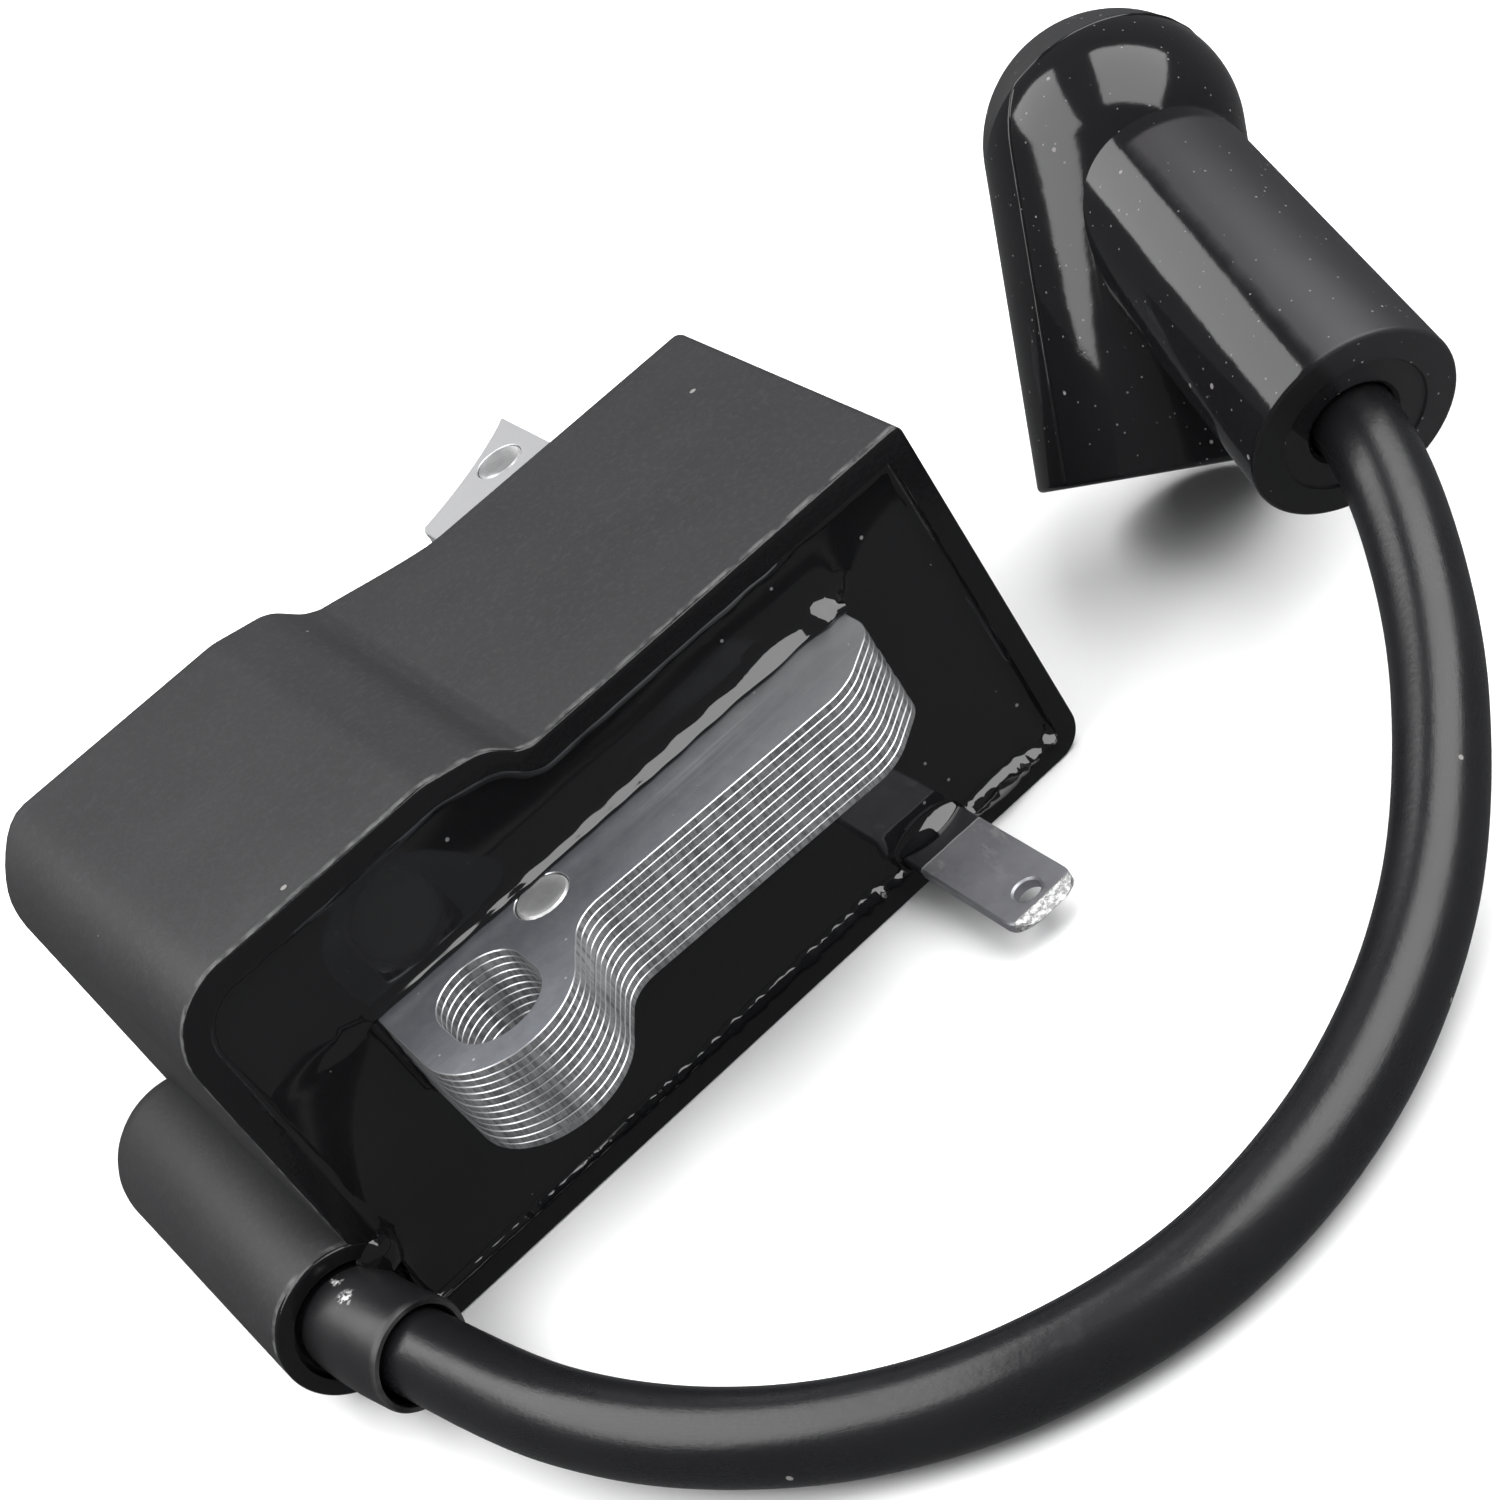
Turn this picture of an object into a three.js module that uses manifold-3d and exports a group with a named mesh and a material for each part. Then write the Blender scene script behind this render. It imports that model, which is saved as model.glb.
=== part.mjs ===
// Ignition coil module for a small two-stroke engine: a laminated U core with two pole legs,
// a potted coil and circuit case, a spade terminal for the stop switch, and a high tension
// lead that ends in an elbowed spark plug boot.
//
// Millimetres, +Z up. X runs along the case, from the lead side to the terminal side. Y runs
// from the potted face (y = 0 in the build frame) towards the flywheel. Z is normal to the
// laminations. The finished group is moved so that its origin is the middle of the coil's
// footprint, at the level of the surface that it stands on.
import * as THREE from 'three';
import { mergeVertices } from 'three/addons/utils/BufferGeometryUtils.js';
import Module from 'manifold-3d';

const wasm = await Module();
wasm.setup();

// ---- driving dimensions ---------------------------------------------------------------------

// Case shell
const CASE_LENGTH = 52;          // along X
const CASE_HEIGHT = 25;          // over the circuit side
const BULGE_HEIGHT = 27.6;       // over the coil side
const BULGE_FLAT_END = 18.8;     // x where the raised roof starts to fall
const STEP_X = 24.9;             // x of the step's sharp inner corner
const CASE_DEPTH = 28;           // along Y, circuit side
const BULGE_DEPTH = 32;          // along Y, coil side
const WALL = 1.5;
const LEFT_FLARE = 1.8;          // how far each wall leans out, or the roof in, over CASE_DEPTH
const RIGHT_FLARE = 0.6;
const ROOF_FALL = 0.45;
const BASE_ROUND = 2;            // corner radii of the case seen along Y
const DECK_ROUND = 0.6;
const ROOF_ROUND = 4.7;
const SHOULDER_ROUND = 3;        // where the raised roof starts to fall
const STEP_TOE = { run: 0.9, rise: 0.35 };     // of the step, from its inner corner
const STEP_HEAD = { run: 2.4, drop: 0.8, round: 0.8 };
const RAMP_START = { x: 22.6, round: 2 };      // of the back, seen along Z
const RAMP_END = { x: 32.2, round: 1 };
const RAMP_LEAN = 0.2;           // share of an inset that also moves the ramp
const BACK_ROUND_LEFT = 5;
const BACK_ROUND_RIGHT = 1.2;
const CLEARANCE = 0.3;           // between a piece and its neighbour

// Cable outlet boss: a round, slightly widening barrel that lies on the case's base plane
const BOSS_NEAR_RADIUS = 4.75;
const BOSS_FAR_RADIUS = 5.38;
const BOSS_NEAR_X = -2.35;
const BOSS_FAR_X = -2.9;
const BOSS_LENGTH = 22.5;          // up to its rounded end
const BOSS_END_ROUNDING = 3;
const BOSS_BORE_RADIUS = 3.75;
const BOSS_BORE_DEPTH = 20;

// Laminated core
const SHEET_COUNT = 12;
const SHEET_THICKNESS = 0.5;
const SHEET_PITCH = 0.52;
const CORE_BOTTOM = 12.36;
const CORE_TOP = CORE_BOTTOM + SHEET_COUNT * SHEET_PITCH;
const CORE_MID_X = 26.15;
const LEG_PASSAGE_END = 40;      // y past the case's back, up to which a leg's passage is cut
const LEG_INNER = 8.15;          // from the core's middle to a leg's inner edge
const LEG_OUTER = 17.05;         // from the core's middle to a leg's outer edge
const SHOE_OUTER = 18.25;        // from the core's middle to a pole shoe's outer edge
const SHOE_START = 31;           // y where a leg starts to widen into its shoe
const SHOE_FULL = 36;
const YOKE_BACK = 4.2;           // y of the yoke's edge between the legs
const YOKE_FRONT = [             // its front edge, from the lobe to a rounded nose: x, y, rounding
  [20.3, -5.5, 2.6],
  [39.4, -6.45, 4],
  [CORE_MID_X + LEG_OUTER, -3.4, 2.6],
];
const POLE_CHAMFER = { across: 0.3, back: 0.5 };
const FLYWHEEL_RADIUS = 29.3;    // of the two pole faces
const FLYWHEEL_Y = 69.6;
const LOBE = { x: 14.05, y: -6.3, radius: 4.9, halfTurns: 0.86 };
const SLOT = { x: 14.05, y: -5.5, radius: 2.8, halfTravel: 0.9 };
const LEG_SLOT = { x: 38.8, y: 33.6, radius: 2.8, halfTravel: 0.9 };
const RIVET_RADIUS = 1.65;
const RIVET_HOLE_RADIUS = 1.95;
const RIVETS = {
  rivet_yoke: [20.0, -1.7],
  rivet_right_pole: [41.4, 41.8],
  rivet_left_pole: [10.9, 41.8],
};

// Coil around the left leg: half sizes across X and Z, and places along Y
const COIL_X = CORE_MID_X - (LEG_INNER + LEG_OUTER) / 2;
const COIL_Z = (CORE_BOTTOM + CORE_TOP) / 2;
const PRIMARY_TUBE = { innerX: 4.8, innerZ: 3.5, wall: 0.8, y0: 7, y1: 27 };
const PRIMARY_FLANGE = { grow: 1.4, thick: 0.8 };
const PRIMARY_COIL_THICKNESS = 1.2;
const SECONDARY_TUBE = { innerX: 7.2, innerZ: 5.9, wall: 0.7, y0: 8.2, y1: 25.8 };
const SECONDARY_FLANGE = { halfX: 10.2, halfZ: 8.8, thick: 0.8, round: 4 };
const SECONDARY_SECTIONS = 5;
const WINDING_GAP = 0.1;         // between a winding and its bobbin

// Circuit board under the right leg
const BOARD = { x0: 26.5, x1: 49, y0: 4, y1: 25, z0: 3.1, thick: 1.2, round: 1 };
const BOARD_POCKET_HEIGHT = 7.06; // above the board, up to just below the core
const ON_BOARD = 0.05;           // from the board up to what is soldered on it
const TRANSISTOR = { x0: 28, x1: 38, y0: 14, y1: 23, height: 4.4 };
const TRANSISTOR_TAB = { x0: 28.4, x1: 37.6, y0: 10.6, height: 1.3 };
const THYRISTOR = { x0: 28, x1: 32.6, y0: 5, y1: 9, height: 4.6, flatRound: 0.3, backRound: 1.6 };
const CAPACITOR = { x: 39.2, y: 20.6, lift: 3, radius: 2.9, length: 8.6 };
const GATE_RESISTOR = { x: 35.6, y: 6.4, radius: 1.1, length: 5.6 };
const BIAS_RESISTOR = { x: 40.4, y: 12.0, radius: 1.1, length: 5.6 };
const CLAMP_DIODE = { x: 40.4, y: 15.4, radius: 1.3, length: 4.8 };
const AXIAL_WIRE = { half: 0.3, reach: 1.4, lift: 0.3 };

// Spade terminal for the stop switch wire
const BLADE = { x: 40.75, width: 4.75, thick: 0.8, z0: 1.7, tip: -12, root: 9, hole: 0.9, holeInset: 2.3, cut: 1.0 };

// Potting resin
const RESIN_RECESS = 0.8;        // from the case's rim back to the poured surface
const RESIN_GAP = 0.15;          // from the case's inner wall

// High tension outlet inside the boss: places along its axis
const CUP = { start: 9.6, length: 7, radius: 2.6, bore: 1.0, boreDepth: 5 };
const CONDUCTOR = { radius: 0.65, ahead: 0.3, depth: 4.2 };
const WINDOW = { x0: -3, x1: 2, y0: 13, y1: 18, z0: 3.4, z1: 7.4 };    // in the wall beside the boss
const WIRE_PASSAGE = { x0: -2, x1: 3.6, z0: 3.2, z1: 10 };             // through the resin
const WIRE_RADIUS = 0.4;
const WIRE_ROUTE = [
  [0.35, 14.2, 5.4],
  [1.4, 15.6, 5.2],
  [2.3, 15.8, 5.6],
  [2.85, 15.9, 7.0],
  [2.85, 15.9, 9.5],
];

// High tension lead and the sleeve where it leaves the boss
const LEAD_RADIUS = 2.5;
const LEAD_SIDES = 10;
const LEAD_STEPS = 22;
const SLEEVE_INNER_RADIUS = 2.85;
const SLEEVE_OUTER_RADIUS = 3.3;
const SLEEVE_ROUTE = [
  [-2.45, 5, 4.88],
  [-2.3, 0, 4.75],
  [-1.75, -3, 4.55],
  [-0.95, -5.9, 4.35],
];
const LEAD_ROUTE = [
  [-2.56, 9, 4.99],
  [-2.45, 5, 4.88],
  [-2.3, 0, 4.75],
  [-0.9, -5.7, 4.35],
  [2.4, -17.0, 4.0],
  [6.7, -24.6, 3.3],
  [12.6, -31.2, 2.75],
  [20.0, -36.4, 2.65],
  [29.5, -39.3, 2.65],
  [40.1, -38.3, 2.9],
  [50.6, -33.8, 4.1],
  [60.0, -26.6, 6.8],
  [66.2, -19.6, 9.4],
  [70.2, -13.2, 11.8],
  [72.1, -7.3, 13.87],
  [75.0, 2.25, 17.15],
];

// Spark plug boot: a domed cap with a cable sleeve that leaves it at an acute angle
const BOOT_CENTRE = [78.68, 14.48, 21.36];       // middle of the dome
const PLUG_AXIS = [-0.509, -0.328, -0.796];      // from the dome to the cap's mouth
const CABLE_AXIS = [-0.275, -0.909, -0.312];     // from the dome to the sleeve's end
const CAP = { radius: 8.05, length: 20.5, bore: 5.8, boreStart: 1.5 };
const CABLE_SLEEVE = { baseRadius: 5.85, endRadius: 6.5, length: 28.8, bore: 2.85, mouth: 3.5, mouthDepth: 1.5 };
const SPRING = { radius: 3.4, wire: 0.45, turns: 4, start: 3.2, end: 10.5 };

// ---- colours --------------------------------------------------------------------------------

const finish = (color, roughness, metalness = 0) => new THREE.MeshStandardMaterial({ color, roughness, metalness });
const FINISHES = {
  case: finish(0x3b3c3e, 0.6),
  resin: finish(0x08080a, 0.1),
  steel: finish(0x9aa0a6, 0.4, 1),
  rivet: finish(0xa8adb2, 0.35, 1),
  tin: finish(0xb9bcc0, 0.3, 1),
  brass: finish(0xb08d4a, 0.35, 1),
  copper: finish(0xb0602c, 0.4, 1),
  bobbin: finish(0xd8d2c0, 0.5),
  board: finish(0x2c5a34, 0.5),
  component: finish(0x1c1c1e, 0.5),
  resistor: finish(0xc9a878, 0.5),
  lead: finish(0x151517, 0.35),
  sleeve: finish(0x202022, 0.6),
  boot: finish(0x101012, 0.3),
};

// ---- shape helpers --------------------------------------------------------------------------

// A THREE.Shape through [x, y] corners, each with its own rounding radius as a third value.
function roundedOutline(corners, arcSteps = 4) {
  const count = corners.length;
  const points = [];
  for (let i = 0; i < count; i += 1) {
    const here = new THREE.Vector2(corners[i][0], corners[i][1]);
    const before = new THREE.Vector2(...corners[(i + count - 1) % count].slice(0, 2)).sub(here).normalize();
    const after = new THREE.Vector2(...corners[(i + 1) % count].slice(0, 2)).sub(here).normalize();
    const radius = corners[i][2] || 0;
    if (radius === 0) {
      points.push(here);
      continue;
    }
    const half = Math.acos(before.dot(after)) / 2;
    const reach = radius / Math.tan(half);
    const centre = before.clone().add(after).normalize().multiplyScalar(radius / Math.sin(half)).add(here);
    const start = before.clone().multiplyScalar(reach).add(here).sub(centre);
    const end = after.clone().multiplyScalar(reach).add(here).sub(centre);
    const sweep = Math.atan2(start.cross(end), start.dot(end));
    for (let k = 0; k <= arcSteps; k += 1) {
      points.push(start.clone().rotateAround(new THREE.Vector2(), sweep * k / arcSteps).add(centre));
    }
  }
  return new THREE.Shape(points);
}

function roundedBox(x0, y0, x1, y1, radius, arcSteps = 3) {
  return roundedOutline([[x0, y0, radius], [x1, y0, radius], [x1, y1, radius], [x0, y1, radius]], arcSteps);
}

function circlePath(x, y, radius, sides) {
  const points = [];
  for (let i = 0; i < sides; i += 1) {
    const angle = -2 * Math.PI * i / sides;
    points.push(new THREE.Vector2(x + radius * Math.cos(angle), y + radius * Math.sin(angle)));
  }
  return new THREE.Path(points);
}

// A slot whose straight stretch runs along Y.
function slotPath({ x, y, radius, halfTravel }, arcSteps = 5) {
  const points = [];
  for (const end of [1, -1]) {
    for (let k = 0; k <= arcSteps; k += 1) {
      const angle = (end > 0 ? Math.PI : 0) - Math.PI * k / arcSteps;
      points.push(new THREE.Vector2(x + radius * Math.cos(angle), y + end * halfTravel + radius * Math.sin(angle)));
    }
  }
  return new THREE.Path(points);
}

function extrudeZ(shape, z0, z1) {
  const geometry = new THREE.ExtrudeGeometry(shape, { depth: z1 - z0, bevelEnabled: false });
  return geometry.translate(0, 0, z0);
}

// The shape's own axes become X and Z, and it is extruded along Y.
function extrudeY(shape, y0, y1) {
  const geometry = new THREE.ExtrudeGeometry(shape, { depth: y1 - y0, bevelEnabled: false });
  return geometry.rotateX(Math.PI / 2).translate(0, y1, 0);
}

function block(x0, x1, y0, y1, z0, z1) {
  const geometry = new THREE.BoxGeometry(x1 - x0, y1 - y0, z1 - z0);
  return geometry.translate((x0 + x1) / 2, (y0 + y1) / 2, (z0 + z1) / 2);
}

// A turned solid whose axis is the +Y axis; the profile is [radius, y] pairs.
function turned(profile, sides) {
  return new THREE.LatheGeometry(profile.map(([radius, y]) => new THREE.Vector2(radius, y)), sides);
}

function tubeAlong(curve, section, steps) {
  return new THREE.ExtrudeGeometry(section, { steps, extrudePath: curve, bevelEnabled: false });
}

function roundSection(radius, sides, hole = 0) {
  const shape = new THREE.Shape(circlePath(0, 0, radius, sides).getPoints().reverse());
  if (hole > 0) {
    shape.holes.push(circlePath(0, 0, hole, sides));
  }
  return shape;
}

const vector = ([x, y, z]) => new THREE.Vector3(x, y, z);

// ---- boolean helpers ------------------------------------------------------------------------

function toSolid(geometry) {
  const bare = geometry.clone();
  bare.deleteAttribute('normal');
  bare.deleteAttribute('uv');
  const merged = mergeVertices(bare, 1e-4);
  return new wasm.Manifold(new wasm.Mesh({
    numProp: 3,
    vertProperties: new Float32Array(merged.attributes.position.array),
    triVerts: new Uint32Array(merged.index.array),
  }));
}

function toGeometry(solid) {
  const mesh = solid.getMesh();
  const geometry = new THREE.BufferGeometry();
  geometry.setAttribute('position', new THREE.BufferAttribute(new Float32Array(mesh.vertProperties), 3));
  geometry.setIndex(new THREE.BufferAttribute(new Uint32Array(mesh.triVerts), 1));
  return geometry;
}

function combine(first, added, removed) {
  let solid = toSolid(first);
  for (const geometry of added) {
    solid = solid.add(toSolid(geometry));
  }
  for (const geometry of removed) {
    solid = solid.subtract(toSolid(geometry));
  }
  return toGeometry(solid);
}

const cut = (first, ...removed) => combine(first, [], removed);
const join = (first, ...added) => combine(first, added, []);
const common = (first, second) => toGeometry(toSolid(first).intersect(toSolid(second)));

// ---- the assembly ---------------------------------------------------------------------------

const coil = new THREE.Group();
const boot = new THREE.Group();

function piece(name, geometry, material, parent = coil) {
  const mesh = new THREE.Mesh(geometry, material);
  mesh.name = name;
  parent.add(mesh);
  return mesh;
}

// ---- case shell -----------------------------------------------------------------------------

// The case seen along Y: flat base, raised round-cornered roof over the coil, and a step.
function caseFrontOutline(inset) {
  const left = inset;
  const right = CASE_LENGTH - inset;
  const roof = BULGE_HEIGHT - inset;
  const deck = CASE_HEIGHT - inset;
  return roundedOutline([
    [left, inset, Math.max(BASE_ROUND - inset, 0.3)],
    [right, inset, Math.max(BASE_ROUND - inset, 0.3)],
    [right, deck, DECK_ROUND],
    [STEP_X, deck, 0],
    [STEP_X - STEP_TOE.run, deck + STEP_TOE.rise, 0],
    [STEP_X - STEP_HEAD.run, roof - STEP_HEAD.drop, STEP_HEAD.round],
    [BULGE_FLAT_END, roof, SHOULDER_ROUND],
    [left, roof, ROOF_ROUND - inset],
  ]);
}

// The case seen along Z: deeper over the coil, with a ramp down to the circuit side.
function casePlanOutline(inset) {
  const front = inset > 0 ? -1 : 0;
  return roundedOutline([
    [inset, front, 0],
    [CASE_LENGTH - inset, front, 0],
    [CASE_LENGTH - inset, CASE_DEPTH - inset, BACK_ROUND_RIGHT],
    [RAMP_END.x - inset * RAMP_LEAN, CASE_DEPTH - inset, RAMP_END.round],
    [RAMP_START.x - inset * RAMP_LEAN, BULGE_DEPTH - inset, RAMP_START.round],
    [inset, BULGE_DEPTH - inset, BACK_ROUND_LEFT - inset],
  ]);
}

// The side walls lean outwards and the roof falls a little towards the back.
function lean(geometry) {
  const position = geometry.attributes.position;
  for (let i = 0; i < position.count; i += 1) {
    const x = position.getX(i);
    const z = position.getZ(i);
    const back = position.getY(i) / CASE_DEPTH;
    const across = x / CASE_LENGTH;
    position.setX(i, x + back * (RIGHT_FLARE * across - LEFT_FLARE * (1 - across)));
    position.setZ(i, z * (1 - back * ROOF_FALL / CASE_HEIGHT));
  }
  return geometry;
}

function caseVolume(inset) {
  const front = extrudeY(caseFrontOutline(inset), inset > 0 ? -0.5 : 0, BULGE_DEPTH + 1);
  const plan = extrudeZ(casePlanOutline(inset), -1, BULGE_HEIGHT + 1);
  return lean(common(front, plan));
}

// The boss's axis, from its near end to its far end.
const bossNear = new THREE.Vector3(BOSS_NEAR_X, 0, BOSS_NEAR_RADIUS);
const bossFar = new THREE.Vector3(BOSS_FAR_X, BOSS_LENGTH, BOSS_FAR_RADIUS);
const bossTurn = new THREE.Quaternion().setFromUnitVectors(
  new THREE.Vector3(0, 1, 0),
  bossFar.clone().sub(bossNear).normalize(),
);

function onBossAxis(geometry) {
  return geometry.applyQuaternion(bossTurn).translate(bossNear.x, bossNear.y, bossNear.z);
}

function bossBarrel() {
  const profile = [[0, 0], [BOSS_NEAR_RADIUS, 0]];
  const arcSteps = 4;
  for (let k = 0; k <= arcSteps; k += 1) {
    const angle = Math.PI / 2 * k / arcSteps;
    profile.push([
      BOSS_FAR_RADIUS - BOSS_END_ROUNDING * (1 - Math.cos(angle)),
      BOSS_LENGTH + BOSS_END_ROUNDING * Math.sin(angle),
    ]);
  }
  profile.push([0, BOSS_LENGTH + BOSS_END_ROUNDING]);
  return onBossAxis(turned(profile, 32));
}

function bossBore() {
  return onBossAxis(turned([
    [0, -1],
    [BOSS_BORE_RADIUS, -1],
    [BOSS_BORE_RADIUS, BOSS_BORE_DEPTH],
    [0, BOSS_BORE_DEPTH],
  ], 24));
}

// A leg's passage through the case, the resin and the bobbin.
function legPassage(side, y0, y1) {
  const inner = CORE_MID_X + side * (LEG_INNER - CLEARANCE);
  const outer = CORE_MID_X + side * (LEG_OUTER + CLEARANCE);
  return block(
    Math.min(inner, outer),
    Math.max(inner, outer),
    y0,
    y1,
    CORE_BOTTOM - CLEARANCE,
    CORE_TOP + CLEARANCE,
  );
}

piece('case_shell', combine(
  caseVolume(0),
  [bossBarrel()],
  [
    caseVolume(WALL),
    bossBore(),
    block(WINDOW.x0, WINDOW.x1, WINDOW.y0, WINDOW.y1, WINDOW.z0, WINDOW.z1),
    legPassage(-1, CASE_DEPTH / 2, LEG_PASSAGE_END),
    legPassage(1, CASE_DEPTH / 2, LEG_PASSAGE_END),
  ],
), FINISHES.case);

// ---- laminated core -------------------------------------------------------------------------

function poleFaceY(x) {
  return FLYWHEEL_Y - Math.sqrt(FLYWHEEL_RADIUS ** 2 - (x - CORE_MID_X) ** 2);
}

// One side of a pole shoe's face, from its inner to its outer edge.
function poleFace(side, steps) {
  const points = [];
  for (let k = 0; k <= steps; k += 1) {
    const start = LEG_INNER + POLE_CHAMFER.across;
    const reach = start + (SHOE_OUTER - start) * k / steps;
    const x = CORE_MID_X + side * reach;
    points.push([x, poleFaceY(x)]);
  }
  return points;
}

function sheetOutline() {
  const corners = [
    // the mounting lobe, then the yoke's front edge and its rounded nose
    [LOBE.x - LOBE.radius, YOKE_BACK, 0],
  ];
  const lobeSteps = 9;
  for (let k = 0; k <= lobeSteps; k += 1) {
    const angle = Math.PI * (1 + LOBE.halfTurns * k / lobeSteps);
    corners.push([LOBE.x + LOBE.radius * Math.cos(angle), LOBE.y + LOBE.radius * Math.sin(angle), 0]);
  }
  corners.push(...YOKE_FRONT);
  // right leg, pole face, and back down to the yoke
  corners.push([CORE_MID_X + LEG_OUTER, SHOE_START, 0]);
  corners.push([CORE_MID_X + SHOE_OUTER, SHOE_FULL, 0]);
  corners.push(...poleFace(1, 4).reverse());
  corners.push([CORE_MID_X + LEG_INNER, poleFaceY(CORE_MID_X + LEG_INNER) - POLE_CHAMFER.back, 0]);
  corners.push([CORE_MID_X + LEG_INNER, YOKE_BACK, 0]);
  // left leg
  corners.push([CORE_MID_X - LEG_INNER, YOKE_BACK, 0]);
  corners.push([CORE_MID_X - LEG_INNER, poleFaceY(CORE_MID_X - LEG_INNER) - POLE_CHAMFER.back, 0]);
  corners.push(...poleFace(-1, 4));
  corners.push([CORE_MID_X - SHOE_OUTER, SHOE_FULL, 0]);
  corners.push([CORE_MID_X - LEG_OUTER, SHOE_START, 0]);
  return roundedOutline(corners, 3);
}

function sheetShape() {
  const shape = sheetOutline();
  shape.holes.push(slotPath(SLOT));
  shape.holes.push(slotPath(LEG_SLOT));
  for (const [x, y] of Object.values(RIVETS)) {
    shape.holes.push(circlePath(x, y, RIVET_HOLE_RADIUS, 8));
  }
  return shape;
}

for (let i = 0; i < SHEET_COUNT; i += 1) {
  const z = CORE_BOTTOM + i * SHEET_PITCH;
  const name = `lamination_${String(i + 1).padStart(2, '0')}`;
  piece(name, extrudeZ(sheetShape(), z, z + SHEET_THICKNESS), FINISHES.steel);
}

for (const [name, [x, y]] of Object.entries(RIVETS)) {
  const shank = new THREE.Shape(circlePath(x, y, RIVET_RADIUS, 16).getPoints().reverse());
  piece(name, extrudeZ(shank, CORE_BOTTOM, CORE_TOP), FINISHES.rivet);
}

// ---- bobbins and windings -------------------------------------------------------------------

// A rectangular ring around the left leg, with rounded outer and inner corners.
function ring(innerX, innerZ, outerX, outerZ, y0, y1, round) {
  const shape = roundedBox(COIL_X - outerX, COIL_Z - outerZ, COIL_X + outerX, COIL_Z + outerZ, round);
  const hole = roundedBox(COIL_X - innerX, COIL_Z - innerZ, COIL_X + innerX, COIL_Z + innerZ, 0.4, 1);
  shape.holes.push(new THREE.Path(hole.getPoints().reverse()));
  return extrudeY(shape, y0, y1);
}

function primaryBobbin() {
  const { innerX, innerZ, wall, y0, y1 } = PRIMARY_TUBE;
  const { grow, thick } = PRIMARY_FLANGE;
  const outerX = innerX + wall;
  const outerZ = innerZ + wall;
  return join(
    ring(innerX, innerZ, outerX, outerZ, y0, y1, 0.8),
    ring(innerX, innerZ, outerX + grow, outerZ + grow, y0, y0 + thick, 1),
    ring(innerX, innerZ, outerX + grow, outerZ + grow, y1 - thick, y1, 1),
  );
}

function primaryWinding() {
  const { innerX, innerZ, wall, y0, y1 } = PRIMARY_TUBE;
  const baseX = innerX + wall + WINDING_GAP;
  const baseZ = innerZ + wall + WINDING_GAP;
  const start = y0 + PRIMARY_FLANGE.thick + WINDING_GAP;
  const end = y1 - PRIMARY_FLANGE.thick - WINDING_GAP;
  return ring(baseX, baseZ, baseX + PRIMARY_COIL_THICKNESS, baseZ + PRIMARY_COIL_THICKNESS, start, end, 1.2);
}

function sectionPitch() {
  const { y0, y1 } = SECONDARY_TUBE;
  return (y1 - y0 - SECONDARY_FLANGE.thick) / SECONDARY_SECTIONS;
}

function secondaryBobbin() {
  const { innerX, innerZ, wall, y0, y1 } = SECONDARY_TUBE;
  const { halfX, halfZ, thick, round } = SECONDARY_FLANGE;
  const flanges = [];
  for (let i = 0; i <= SECONDARY_SECTIONS; i += 1) {
    const y = y0 + i * sectionPitch();
    flanges.push(ring(innerX, innerZ, halfX, halfZ, y, y + thick, round));
  }
  return join(ring(innerX, innerZ, innerX + wall, innerZ + wall, y0, y1, 0.8), ...flanges);
}

function secondaryWinding(index) {
  const { innerX, innerZ, wall, y0 } = SECONDARY_TUBE;
  const { halfX, halfZ, thick, round } = SECONDARY_FLANGE;
  const margin = 0.5;            // from the flanges' rims down to the winding
  const start = y0 + index * sectionPitch() + thick + WINDING_GAP;
  const end = y0 + (index + 1) * sectionPitch() - WINDING_GAP;
  const base = wall + WINDING_GAP;
  return ring(innerX + base, innerZ + base, halfX - margin, halfZ - margin, start, end, round - margin);
}

piece('primary_bobbin', primaryBobbin(), FINISHES.bobbin);
piece('primary_winding', primaryWinding(), FINISHES.copper);
piece('secondary_bobbin', secondaryBobbin(), FINISHES.bobbin);
for (let i = 0; i < SECONDARY_SECTIONS; i += 1) {
  piece(`secondary_winding_${i + 1}`, secondaryWinding(i), FINISHES.copper);
}

// ---- circuit --------------------------------------------------------------------------------

const BOARD_TOP = BOARD.z0 + BOARD.thick;

function lyingCylinder(x, y, z, radius, length, sides) {
  return turned([[0, 0], [radius, 0], [radius, length], [0, length]], sides)
    .rotateZ(-Math.PI / 2)
    .translate(x, y, z);
}

// An axial part: a round body with a straight wire at each end, bent down onto the board.
function axialPart({ x, y, radius, length }) {
  const { half, reach, lift } = AXIAL_WIRE;
  const z = BOARD_TOP + radius + lift;
  const legs = [x - reach, x + length + reach - 2 * half].map((legX) => (
    block(legX, legX + 2 * half, y - half, y + half, BOARD_TOP + ON_BOARD, z + half)
  ));
  return join(
    lyingCylinder(x, y, z, radius, length, 10),
    block(x - reach, x + length + reach, y - half, y + half, z - half, z + half),
    ...legs,
  );
}

function transistor() {
  const { x0, x1, y0, y1, height } = TRANSISTOR;
  const tab = TRANSISTOR_TAB;
  return join(
    block(x0, x1, y0, y1, BOARD_TOP + ON_BOARD, BOARD_TOP + height),
    block(tab.x0, tab.x1, tab.y0, y0 + 0.5, BOARD_TOP + ON_BOARD, BOARD_TOP + tab.height),
  );
}

function thyristor() {
  const { x0, x1, y0, y1, height, flatRound, backRound } = THYRISTOR;
  const shape = roundedOutline([[x0, y0, flatRound], [x1, y0, flatRound], [x1, y1, backRound], [x0, y1, backRound]], 3);
  return extrudeZ(shape, BOARD_TOP + ON_BOARD, BOARD_TOP + height);
}

function capacitor() {
  const { x, y, lift, radius, length } = CAPACITOR;
  return lyingCylinder(x, y, BOARD_TOP + lift, radius, length, 16);
}

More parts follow.
